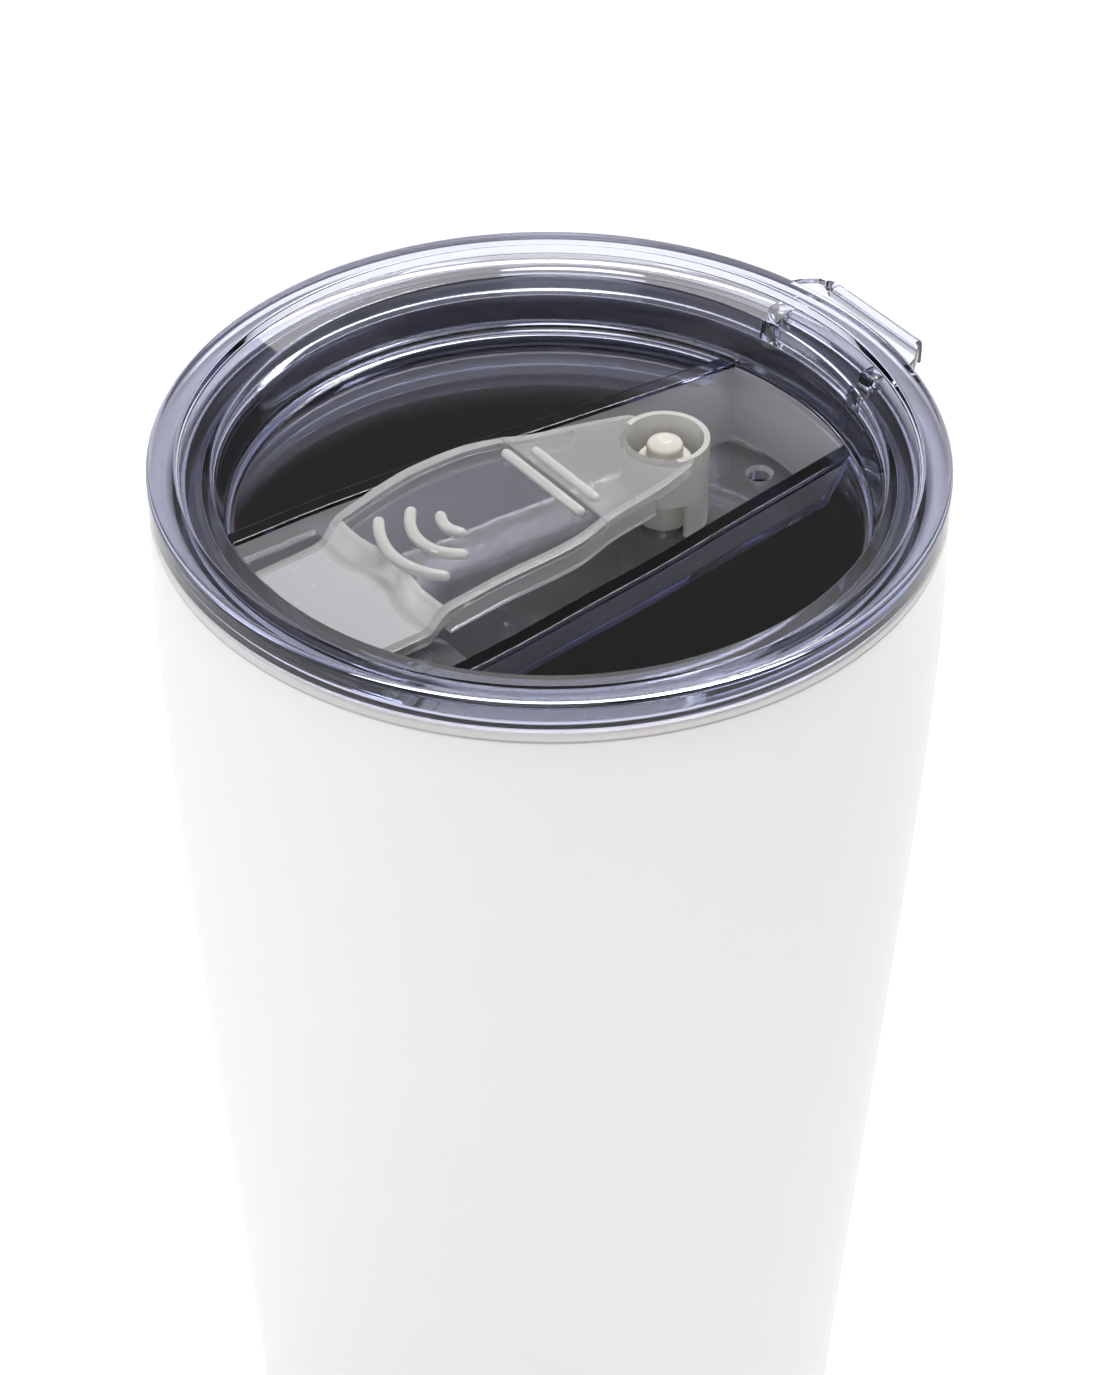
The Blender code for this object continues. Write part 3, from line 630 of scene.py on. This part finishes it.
# ------------------------------------------------------------ lid (mm; depths from its top ring)
WELL_R = 37.2
FLOOR_R = 35.5
WELL = 8.7                      # depth of the well floor
TROUGH = 16.3                   # depth of the channel floor
SILL = 10.0                     # depth of the raised floor round the drinking opening
WALL = 1.8
DRINK_Y = -28.3                 # middle of the drinking opening
VENT_Y = 0.0303                 # middle of the vent hole, metres
ROUND_STEPS = 28                # segments of the small round holes
KERB = 0.55                     # how far the channel's mouth stands above the well floor
# place along the channel and its half width at the mouth, mm
HALF_WIDTHS = [(-37.0, 16.0), (-20.0, 15.6), (-5.0, 14.3), (5.0, 13.4), (16.0, 12.0),
               (34.4, 9.9), (37.0, 9.7)]
SIDE_POINTS = 22


def trough_outline(extra, rear, front):
    """Plan of the channel at its mouth, as (x, y) in metres."""
    def wide(y):
        return between(HALF_WIDTHS, y) + extra
    corner = wide(rear - 1.2)
    y_rear = math.sqrt(rear ** 2 - corner ** 2)
    nose = min(wide(-front), front * 0.6)
    y_front = -math.sqrt(front ** 2 - nose ** 2)
    side = []
    for step in range(SIDE_POINTS + 1):
        y = y_rear + (y_front - y_rear) * step / SIDE_POINTS
        half = corner if step == 0 else nose if step == SIDE_POINTS else wide(y)
        side.append((half, y))
    swing = math.asin(nose / front)
    low = [(front * math.sin(swing * (1 - step / 8.0)),
            -front * math.cos(swing * (1 - step / 8.0))) for step in range(1, 16)]
    swing = math.asin(corner / rear)
    back = [(rear * math.sin(-swing * (1 - step / 7.0)),
             rear * math.cos(swing * (1 - step / 7.0))) for step in range(1, 14)]
    outline = side + low + [(-x, y) for x, y in side[::-1]] + back
    return [(x * MM, y * MM) for x, y in outline]


def make_lid():
    edge = LID_EDGE / MM
    step = edge - 3.1
    plug = 39.2
    groove = 5.1
    # radius, depth and fillet, mm
    points = [
        (0.0, WELL, 0.0), (FLOOR_R, WELL, 1.1), (WELL_R - 0.2, 1.75, 0.5), (step - 0.4, 0.9, 0.3),
        (step - 0.1, 0.0, 0.3), (edge, 0.0, 0.75), (edge, 3.7, 0.5), (40.6, 3.7, 0.15),
        (40.6, groove, 0.3), (plug - 0.6, groove, 0.1), (plug - 0.6, groove + 4.2, 0.1),
        (plug, groove + 4.2, 0.15), (plug - 0.2, WELL + WALL, 0.9), (0.0, WELL + WALL, 0.0)]
    profile = [(r * MM, down(z)) for r, z in round_corners(points, 5)]
    lid = turned("clear_lid", profile)
    blank_outline = trough_outline(WALL, FLOOR_R + 1.0, FLOOR_R + 0.8)
    low_x, low_y = 0.775, 0.955
    # height, then the share of the plan's width and length
    floor_rings = [(down(TROUGH + WALL), low_x * 0.93, low_y * 0.975),
                   (down(TROUGH + WALL - 0.25), low_x * 0.975, low_y * 0.992),
                   (down(TROUGH + WALL - 0.9), low_x, low_y), (down(WELL + 0.5), 1.0, 1.0),
                   (down(WELL - KERB + 0.15), 1.0, 1.0), (down(WELL - KERB + 0.04), 0.996, 0.999),
                   (down(WELL - KERB), 0.988, 0.997)]
    combine(lid, stacked("trough_blank", blank_outline, floor_rings), "UNION")
    mouth = WELL - KERB
    cut_outline = trough_outline(0.0, FLOOR_R + 0.25, FLOOR_R - 0.4)
    low_x, low_y = 0.755, 0.935
    cut_rings = [(down(TROUGH), low_x * 0.93, low_y * 0.975),
                 (down(TROUGH - 0.2), low_x * 0.975, low_y * 0.992),
                 (down(TROUGH - 0.7), low_x, low_y), (down(mouth + 0.5), 0.992, 0.998),
                 (down(mouth + 0.2), 0.994, 0.998), (down(mouth + 0.05), 1.0, 0.999),
                 (down(mouth - 0.01), 1.010, 1.0), (down(mouth - 1.0), 1.010, 1.0)]
    cutter = stacked("trough_cut", cut_outline, cut_rings)
    block = block_tool((0.06, 0.0235, 0.01), (0.0, -0.03325, down(SILL) - 0.005))
    combine(cutter, block, "DIFFERENCE")
    combine(lid, cutter, "DIFFERENCE")
    under = block_tool((0.021, 0.008, 0.0095), (0.0, -0.0277, down(SILL + WALL) - 0.00475))
    combine(lid, under, "DIFFERENCE")
    drink = slot_shape("drink_cut", 7.5, 3.5, DRINK_Y, (down(14.0), down(7.0)))
    combine(lid, drink, "DIFFERENCE")
    vent = turned("vent_cut", [(0.0, down(20.0)), (0.0013, down(20.0)), (0.0013, down(16.9)),
                               (0.0017, down(16.2)), (0.0017, down(15.0)), (0.0, down(15.0))],
                  steps=ROUND_STEPS, centre=(0.0, VENT_Y))
    combine(lid, vent, "DIFFERENCE")
    hole = turned("pin_cut", [(0.0, down(20.0)), (0.0022, down(20.0)), (0.0022, down(15.0)),
                              (0.0, down(15.0))], steps=ROUND_STEPS, centre=(0.0, POST_Y))
    combine(lid, hole, "DIFFERENCE")
    for side in (-1.0, 1.0):
        combine(lid, pocket_shape(side), "DIFFERENCE")
    combine(lid, make_tab(), "UNION")
    even_shading(lid, 0.5)
    clear = clear_plastic("clear moulded plastic", 1.0, 0.0, 0.03)
    finish_piece(lid, clear, "lid", "lid_body")
    # channel walls and floor get partly diffuse copies of the clear plastic: a whitish painted veil
    # that stands in for glints and reflections in the clear moulding
    lid.data.materials.append(clear_plastic("channel wall painted light veil", 0.70, 0.02, 0.08))
    lid.data.materials.append(clear_plastic("channel floor painted light veil", 0.92, 0.02, 0.08))
    edit(lid)

    def channel_wall(middle, normal):
        inside = math.hypot(middle.x, middle.y) < (FLOOR_R + 0.45) * MM
        return inside and abs(normal.z) < 0.6 and middle.z < down(WELL + 0.2)
    paint(lid, 1, channel_wall)

    def channel_floor(middle, normal):
        inside = math.hypot(middle.x, middle.y) < (FLOOR_R + 0.3) * MM
        return inside and normal.z > 0.6 and middle.z < down(SILL - 0.1)
    paint(lid, 2, channel_floor)
    leave()


def pocket_shape(side):
    """Small relief moulded up into the flange beside the tab."""
    return block_tool((0.0024, 0.0024, 0.0036), (side * 0.0082, 0.0396, down(3.9)), 0.0006)


SLOT_POINTS = 40


def slot_shape(name, half, bend, y, levels):
    """Upright body with a round-ended plan between two heights."""
    points = []
    for step in range(SLOT_POINTS):
        swing = TURN * step / SLOT_POINTS
        middle = (half - bend) * (1.0 if math.cos(swing) >= 0.0 else -1.0)
        points.append(((middle + bend * math.cos(swing)) * MM, (y + bend * math.sin(swing)) * MM))
    return stacked(name, points, [(levels[0], 1.0, 1.0), (levels[1], 1.0, 1.0)])


def make_tab():
    """Pull tab: a plate drawn from the flange outwards, with its edge turned down."""
    deselect()
    reach = lid_high[1] / MM
    # place outwards, half width, depth of the upper face and of the lower face, mm
    stations = [(41.4, 10.8, 0.5, 2.2), (42.6, 10.7, 0.45, 2.2), (43.8, 10.2, 0.4, 2.2),
                (44.6, 9.6, 0.35, 2.1), (45.6, 8.8, 0.3, 2.1), (reach - 1.4, 8.0, 0.3, 2.2),
                (reach - 0.9, 7.8, 0.35, 3.4), (reach - 0.35, 7.7, 0.6, 3.75),
                (reach, 7.6, 1.2, 3.6)]
    y0, half0, top0, low0 = stations[0]
    outline = [(-half0 * MM, 0.0, down(top0)), (half0 * MM, 0.0, down(top0)),
               (half0 * MM, 0.0, down(low0)), (-half0 * MM, 0.0, down(low0))]
    piece = path("tab_blank", [(x, y0 * MM, z) for x, _, z in outline], closed=True)
    bpy.ops.mesh.select_mode(type="FACE")
    bpy.ops.mesh.select_all(action="SELECT")
    for (ya, ha, ta, la), (yb, hb, tb, lb) in zip(stations, stations[1:]):
        bpy.ops.mesh.extrude_region_move(TRANSFORM_OT_translate={
            "value": (0.0, (yb - ya) * MM, (-(tb + lb) + (ta + la)) / 2.0 * MM)})
        middle = (0.0, yb * MM, down((tb + lb) / 2.0))
        bpy.ops.transform.resize(value=(hb / ha, 1.0, (lb - tb) / (la - ta)), center_override=middle)
    bpy.ops.mesh.select_all(action="SELECT")
    bpy.ops.mesh.normals_make_consistent(inside=False)
    leave()
    soften(piece, 0.0004, 3, 0.9)
    return piece


def make_gasket():
    """Smooth ring with a crowned outer face."""
    low = gasket_low[2]
    high = gasket_high[2]
    inner = 38.9 * MM
    core = 39.5 * MM
    tip = gasket_high[0]
    crown = (high + low) / 2.0
    points = [(inner, high, 0.0), (core, high, 0.0003), (tip, crown + 0.0004, 0.0006),
              (tip, crown - 0.0004, 0.0006), (core, low, 0.0003), (inner, low, 0.0)]
    piece = turned("gasket_ring", round_corners(points, 3), ring=True)
    mat = milky_plastic("clear silicone", (0.50, 0.50, 0.57), (0.57, 0.57, 0.64), 0.93, 0.34)
    finish_piece(piece, mat, "lid", "lid_gasket")


# ------------------------------------------------------------ flap (mm)
# place along the flap and the depth of its upper face
DECK = [(-33.2, 8.05), (-24.2, 8.0), (-23.3, 7.6), (-22.2, 6.3), (-21.2, 5.6), (-18.0, 5.0),
        (-14.0, 4.35), (-10.0, 4.1), (0.6, 4.1), (2.5, 4.4), (9.0, 4.9), (22.0, 5.4)]
# place along the flap and its half width
EDGE = [(-33.2, 10.0), (-30.0, 10.2), (-25.0, 10.3), (-20.0, 10.75), (-15.0, 11.15),
        (-10.0, 11.4), (-4.0, 11.1), (0.5, 9.85), (3.0, 9.0), (9.0, 7.8), (14.0, 6.4),
        (17.5, 5.2)]
RIM_SHARE = 0.885               # share of the half width where the rim begins
COLUMNS = [-1.0, -RIM_SHARE, -0.72, -0.54, -0.36, -0.18, 0.0,
           0.18, 0.36, 0.54, 0.72, RIM_SHARE, 1.0]
ASIDE = 10.0                    # metres; finished points wait here, clear of later picks
PAD_TOP = 7.94                  # depth where the low pad meets the step wall
STEP_TOP = 5.75                 # depth of the step wall's upper edge
DECK_THICK = 0.0013
SKIRT_DROP = 0.0019             # how far the side skirts hang below the deck
SKIRT_Y = (-21.5, 9.0)          # where the skirts begin and end


def deck_sheet(name, rows):
    """Grid sheet set column by column, then row by row, to the flap's plan and height."""
    deselect()
    across = len(COLUMNS) - 1
    along = len(rows) - 1
    bpy.ops.mesh.primitive_grid_add(x_subdivisions=across, y_subdivisions=along, size=2.0)
    piece = bpy.context.object
    piece.name = name
    piece.data.name = name
    bpy.ops.object.mode_set(mode="EDIT")
    for index, share in enumerate(COLUMNS):
        old = -1.0 + 2.0 * index / across
        select_where(piece, lambda co, old=old: abs(co.x - old) < 1e-4)
        bpy.ops.transform.translate(value=(share - old + ASIDE, 0.0, 0.0))
    bpy.ops.mesh.select_all(action="SELECT")
    bpy.ops.transform.translate(value=(-ASIDE, 0.0, 0.0))
    for index, (y, half) in enumerate(rows):
        old = -1.0 + 2.0 * index / along
        select_where(piece, lambda co, old=old: abs(co.y - old) < 1e-4 and co.z < ASIDE / 2.0)
        bpy.ops.transform.resize(value=(half * MM, 1.0, 1.0), center_override=(0.0, old, 0.0))
        height = down(between(DECK, y))
        bpy.ops.transform.translate(value=(0.0, y * MM - old, ASIDE + height))
    bpy.ops.mesh.select_all(action="SELECT")
    bpy.ops.transform.translate(value=(0.0, 0.0, -ASIDE))
    return piece


def pull_down(distance):
    """Extrude the selected faces downwards and set all normals outwards."""
    bpy.ops.mesh.extrude_region_move(TRANSFORM_OT_translate={"value": (0.0, 0.0, -distance)})
    bpy.ops.mesh.select_all(action="SELECT")
    bpy.ops.mesh.normals_make_consistent(inside=False)


def make_walls(piece):
    """Give the sheet its thickness and its hanging side skirts, then round the edges."""
    bpy.ops.mesh.select_mode(type="FACE")
    bpy.ops.mesh.select_all(action="SELECT")
    pull_down(DECK_THICK)

    def skirt_face(middle, normal):
        y = middle.y / MM
        rim = abs(middle.x) / MM > between(EDGE, y) * RIM_SHARE - 0.05
        return normal.z < -0.3 and SKIRT_Y[0] < y < SKIRT_Y[1] and rim
    select_where(piece, skirt_face, "FACE")
    pull_down(SKIRT_DROP)
    leave()
    soften(piece, 0.0003, 2, 0.7)


CLEAR_FLAP = milky_plastic("clear flap plastic", (0.78, 0.77, 0.84), (0.84, 0.83, 0.90), 0.965, 0.05)
CLEAR_STRAP = milky_plastic("clear strap plastic", (0.86, 0.85, 0.85), (0.90, 0.89, 0.89), 0.84, 0.07)
MILKY_FLAP = milky_plastic("milky flap edge", (0.82, 0.82, 0.82), (0.87, 0.87, 0.86), 0.72, 0.10)
CREAM_STEP = milky_plastic("cream moulded step", (0.86, 0.85, 0.82), (0.90, 0.89, 0.86), 0.58, 0.12)
CREAM_BOSS = milky_plastic("cream boss wall", (0.86, 0.85, 0.81), (0.90, 0.89, 0.85), 0.52, 0.12)
RIB = milky_plastic("milky grip rib", (0.80, 0.79, 0.76), (0.85, 0.84, 0.81), 0.52, 0.14)
# opaque grey of the low pad: a painted reflection of the softbox on the flat clear plate
PAD_PAINTED_REFLECTION = milky_plastic("flap pad painted reflection", (0.395, 0.388, 0.405), (0.415, 0.408, 0.425), 0.0, 0.24)


def dress_flap(piece, part):
    """Give the walls, rims and the drinking end of the moulding their own finish; the grey on the low
    pad is a painted reflection.
    """
    piece.data.materials.clear()
    for mat in (CLEAR_FLAP if part == "flap" else CLEAR_STRAP, MILKY_FLAP, PAD_PAINTED_REFLECTION, CREAM_STEP):
        piece.data.materials.append(mat)
    edit(piece)

    def outer(middle, normal):
        y = middle.y / MM
        return abs(normal.z) < 0.75 or abs(middle.x) / MM > between(EDGE, y) * RIM_SHARE - 0.02
    paint(piece, 1, outer)
    if part == "flap":
        # flat low faces at the drinking end take the grey pad, a painted reflection
        def pad(middle, normal):
            y = middle.y / MM
            flat = normal.z > 0.85 and middle.z < down(PAD_TOP)
            return (flat and y > -32.4
                    and abs(middle.x) / MM < between(EDGE, y) * RIM_SHARE + 0.02)
        paint(piece, 2, pad)

        def step_wall(middle, normal):
            y = middle.y / MM
            risen = normal.z > 0.1 and down(PAD_TOP) <= middle.z < down(STEP_TOP)
            return risen and -25.8 < y < -20.6 and abs(middle.x) / MM < between(EDGE, y) * 0.9
        paint(piece, 3, step_wall)
    leave()


def finish_flap(piece, body, node):
    even_shading(piece, SMOOTH)
    join_frame(piece, body, node)


def rib(name, points, width):
    """Rounded rib with domed ends that follows points on the deck."""
    half = width / 2.0
    ends = (Vector(points[0]), Vector(points[-1]))
    aims = ((Vector(points[1]) - ends[0]).normalized(), (Vector(points[-2]) - ends[1]).normalized())
    dome = [(1.0 - math.cos(turn), math.sin(turn)) for turn in (0.17, 0.55, 1.0, TURN / 4.0)]
    line = [(ends[0] + aims[0] * half * along, girth) for along, girth in dome]
    line += [(Vector(spot), 1.0) for spot in points
             if min((Vector(spot) - end).length for end in ends) > half * 1.15]
    line += [(ends[1] + aims[1] * half * along, girth) for along, girth in dome[::-1]]
    piece = path(name, [tuple(spot) for spot, _ in line])
    leave()
    bpy.ops.object.convert(target="CURVE")
    shape = bpy.context.object.data
    shape.bevel_depth = half
    shape.bevel_resolution = 6
    shape.use_fill_caps = True
    for point, (_, girth) in zip(shape.splines[0].points, line):
        point.radius = girth
    bpy.ops.object.convert(target="MESH")
    piece = bpy.context.object
    bpy.ops.object.mode_set(mode="EDIT")
    bpy.ops.mesh.select_all(action="SELECT")
    bpy.ops.mesh.remove_doubles(threshold=TINY)
    bpy.ops.mesh.normals_make_consistent(inside=False)
    leave()
    piece.data.materials.clear()
    piece.data.materials.append(RIB)
    return piece


RIB_LIFT = 0.00012              # middle of a rib above the deck, metres
BAR_WIDTH = 0.00125
ARC_WIDTH = 0.0014


def rib_points(count, place):
    """Points on the deck along a curve given by its share from 0 to 1."""
    points = []
    for index in range(count + 1):
        x, y = place(index / count)
        points.append((x * MM, y * MM, down(between(DECK, y)) + RIB_LIFT))
    return points


def make_flap():
    """Front of the flap: deck with its finger notch, skirts, plug, bar and grip arcs."""
    start = HINGE_Y / MM - 0.03
    stops = [-33.2, -32.6, -30.5, -28.0, -25.5, -24.2, -23.7, -23.3, -22.9, -22.4, -21.8,
             -21.2, -20.2, -19.0, -17.5, -16.0, -14.5, -13.0, -11.5, -10.0, -8.5, -7.0,
             -5.5, -4.0, -2.7, -1.5, -0.6, start]
    rows = [(y, between(EDGE, y)) for y in stops]
    flap = deck_sheet("flap_front", rows)
    # share of the half width and how far the step moves there, mm: the finger notch
    wave = [(-1.0, 0.0), (-0.6, -0.25), (-0.35, 0.1), (-0.18, 0.9), (0.0, 1.35), (0.18, 0.9),
            (0.35, 0.1), (0.6, -0.25), (1.0, 0.0)]
    for share in COLUMNS:
        push = between(wave, share)
        if abs(push) < 0.02:
            continue

        def near(co, share=share):
            y = co.y / MM
            return -24.6 < y < -20.6 and abs(co.x / MM / between(EDGE, y) - share) < 0.03
        select_where(flap, near)
        bpy.ops.transform.translate(value=(0.0, push * MM, 0.0))
    make_walls(flap)
    plug = slot_shape("plug_blank", 7.2, 3.2, DRINK_Y, (down(SILL + 1.15), down(9.0)))
    combine(flap, plug, "UNION")
    dress_flap(flap, "flap")
    bar_y = HINGE_Y / MM - 1.5
    bar = rib("bar_blank", rib_points(12, lambda s: (-7.3 + 14.6 * s, bar_y)), BAR_WIDTH)
    combine(flap, bar, "UNION")
    for radius, sweep in ((3.1, 0.85), (6.5, 0.92), (9.9, 0.72)):
        def place(s, radius=radius, sweep=sweep):
            turn = -sweep + 2.0 * sweep * s
            return radius * math.sin(turn), -10.9 - radius * math.cos(turn)
        combine(flap, rib("arc_blank", rib_points(18, place), ARC_WIDTH), "UNION")
    finish_flap(flap, "flap", "flap_lever")


BOSS_R = 0.00505
BORE_R = 0.0044


def make_anchor():
    """Rear of the flap: strap, round boss with its bore, and the rear bar."""
    start = HINGE_Y / MM + 0.03
    round_r = anchor_high[1] / MM - POST_Y / MM
    centre = POST_Y / MM
    stops = [start, 1.5, 3.0, 4.5, 6.0, 7.5, 9.0, 10.5, 12.0, 13.2, 14.4, 15.4, 16.2, 17.0,
             17.8, 18.6, 19.3, 19.9, 20.4, 20.8, 21.05]
    rows = []
    for y in stops:
        half = between(EDGE, y)
        if y > centre:
            half = math.sqrt(max(0.6, round_r ** 2 - (y - centre) ** 2))
        elif y > centre - 2.2:
            half = max(half, round_r)
        rows.append((y, half))
    strap = deck_sheet("flap_rear", rows)
    make_walls(strap)
    dress_flap(strap, "strap")
    top = down(between(DECK, centre))
    foot = anchor_low[2]
    tube = turned("boss_blank", [(BORE_R, top + 0.00006), (BOSS_R, top + 0.00006),
                                 (BOSS_R, foot), (BORE_R, foot)],
                  steps=64, ring=True, centre=(0.0, POST_Y))
    tube.data.materials.append(CREAM_BOSS)
    combine(strap, tube, "UNION")
    hole = turned("boss_hole", [(0.0, top - 0.0030), (0.0042, top - 0.0030),
                                (BORE_R, top - 0.0027), (BORE_R, top + 0.0010),
                                (0.0, top + 0.0010)], steps=64, centre=(0.0, POST_Y))
    hole.data.materials.append(CREAM_BOSS)
    combine(strap, hole, "DIFFERENCE")
    window = block_tool((0.014, 0.0074, 0.010), (0.0, POST_Y - 0.0043, foot + 0.0046 - 0.005))
    window.data.materials.append(CREAM_BOSS)
    combine(strap, window, "DIFFERENCE")
    bar_y = HINGE_Y / MM + 1.6
    bar = rib("bar_blank", rib_points(12, lambda s: (-6.0 + 12.0 * s, bar_y)), BAR_WIDTH)
    combine(strap, bar, "UNION")
    finish_flap(strap, "lid", "flap_anchor")


def make_post():
    """Post with its snap nub under the channel floor."""
    top = pin_high[2] / MM
    low = pin_low[2] / MM
    floor = down(TROUGH) / MM + 0.3
    under = down(TROUGH + WALL) / MM - 0.3
    points = [(0.0, top, 0.0), (0.9, top - 0.05, 0.5), (2.05, top - 0.75, 0.6), (2.1, top - 2.4, 0.2),
              (3.1, top - 2.7, 0.3), (3.1, floor, 0.2), (1.9, floor, 0.1), (1.9, under, 0.1),
              (3.0, under, 0.2), (2.8, under - 0.5, 0.2), (1.0, low, 0.3), (0.0, low, 0.0)]
    piece = turned("post", [(r * MM, z * MM) for r, z in round_corners(points, 5)], steps=64,
                   centre=(0.0, POST_Y))
    mat = milky_plastic("cream post plastic", (0.66, 0.635, 0.58), (0.71, 0.685, 0.63), 0.12, 0.24)
    finish_piece(piece, mat, "lid", "snap_pin")


# ------------------------------------------------------------ stage, light, camera
def make_stage():
    deselect()
    bpy.ops.mesh.primitive_plane_add(size=2.4, location=(0.0, 0.0, -0.0005))
    floor = bpy.context.object
    floor.name = "studio_floor"
    mat, tree, shader = new_material("pale floor")
    shader.inputs["Base Color"].default_value = (0.97, 0.97, 0.97, 1.0)
    shader.inputs["Roughness"].default_value = 0.9
    floor.data.materials.append(mat)


# name, place, aim, width and power in watts
LIGHTS = (
    ("overhead diffuser", (-0.22, 0.30, 1.27), (0.0, 0.0, 0.1), 1.05, 10.4),
    ("overhead lamp", (-0.10, 0.52, 1.17), (0.0, 0.0, 0.17), 0.42, 5.2),
    ("front softbox", (0.72, -0.72, 1.0), (0.0, 0.0, 0.1), 0.9, 3.3),
    ("left softbox", (-0.7, -0.85, 0.5), (0.0, 0.0, 0.1), 0.7, 2.4),
)
# share from straight down to straight up, and the sky's colour there
SKY = (
    (0.0, (1.0, 1.0, 1.0, 1.0)),
    (0.32, (0.95, 0.95, 0.97, 1.0)),
    (0.44, (0.48, 0.48, 0.51, 1.0)),
    (0.58, (0.155, 0.145, 0.14, 1.0)),
)


def add_lamp(name, place, aim, width, power):
    """Round area light at a place, turned to its aim."""
    data = bpy.data.lights.new(name, "AREA")
    data.energy = power
    data.shape = "DISK"
    data.size = width
    lamp = bpy.data.objects.new(name, data)
    bpy.context.scene.collection.objects.link(lamp)
    lamp.location = place
    look = (Vector(aim) - Vector(place)).to_track_quat("-Z", "Y")
    lamp.rotation_euler = look.to_euler()


def make_lights():
    world = bpy.data.worlds.new("studio")
    bpy.context.scene.world = world
    world.use_nodes = True
    tree = world.node_tree
    back = tree.nodes.get("Background")
    place = put(tree, "ShaderNodeTexCoord")
    split = put(tree, "ShaderNodeSeparateXYZ")
    ramp = put(tree, "ShaderNodeValToRGB")
    tree.links.new(place.outputs["Generated"], split.inputs[0])
    tree.links.new(split.outputs["Z"], ramp.inputs["Fac"])
    tree.links.new(ramp.outputs["Color"], back.inputs["Color"])
    steps = ramp.color_ramp.elements
    for step, (level, shade) in zip(steps, SKY):
        step.position, step.color = level, shade
    for level, shade in SKY[2:]:
        steps.new(level).color = shade
    back.inputs["Strength"].default_value = 1.0
    for lamp in LIGHTS:
        add_lamp(*lamp)


VIEW_AZIMUTH = math.radians(52.7)
VIEW_PITCH = math.radians(38.822)
VIEW_ROLL = math.radians(0.272)
VIEW_OFFSET = (0.000168, -0.405255, 0.292862)     # from the centre of the lid's ring
FOCAL_HEIGHTS = 3.3231                            # focal length in frame heights
SENSOR = 24.0


def make_camera():
    cos_a, sin_a = math.cos(VIEW_AZIMUTH), math.sin(VIEW_AZIMUTH)

    def swing(v):
        return Vector((cos_a * v[0] - sin_a * v[1], sin_a * v[0] + cos_a * v[1], v[2]))
    right = Vector((1.0, 0.0, 0.0))
    ahead = Vector((0.0, math.cos(VIEW_PITCH), -math.sin(VIEW_PITCH)))
    top = Vector((0.0, math.sin(VIEW_PITCH), math.cos(VIEW_PITCH)))
    side = right * math.cos(VIEW_ROLL) + top * math.sin(VIEW_ROLL)
    top = top * math.cos(VIEW_ROLL) - right * math.sin(VIEW_ROLL)
    side, top, ahead = swing(side), swing(top), swing(ahead)
    turn = Matrix((side, top, -ahead)).transposed().to_4x4()
    data = bpy.data.cameras.new("camera")
    data.sensor_fit = "VERTICAL"
    data.sensor_height = SENSOR
    data.lens = FOCAL_HEIGHTS * SENSOR
    data.clip_start = 0.01
    data.clip_end = 50.0
    camera = bpy.data.objects.new("camera", data)
    bpy.context.scene.collection.objects.link(camera)
    camera.matrix_world = Matrix.Translation(swing(VIEW_OFFSET) + Vector((0.0, 0.0, LID_TOP))) @ turn
    bpy.context.scene.camera = camera


def main():
    make_camera()
    make_shell()
    make_liner()
    make_base()
    dress_hidden_nodes()
    make_lid()
    make_gasket()
    make_flap()
    make_anchor()
    make_post()
    make_stage()
    make_lights()
    bpy.context.scene.view_settings.view_transform = "Standard"


main()
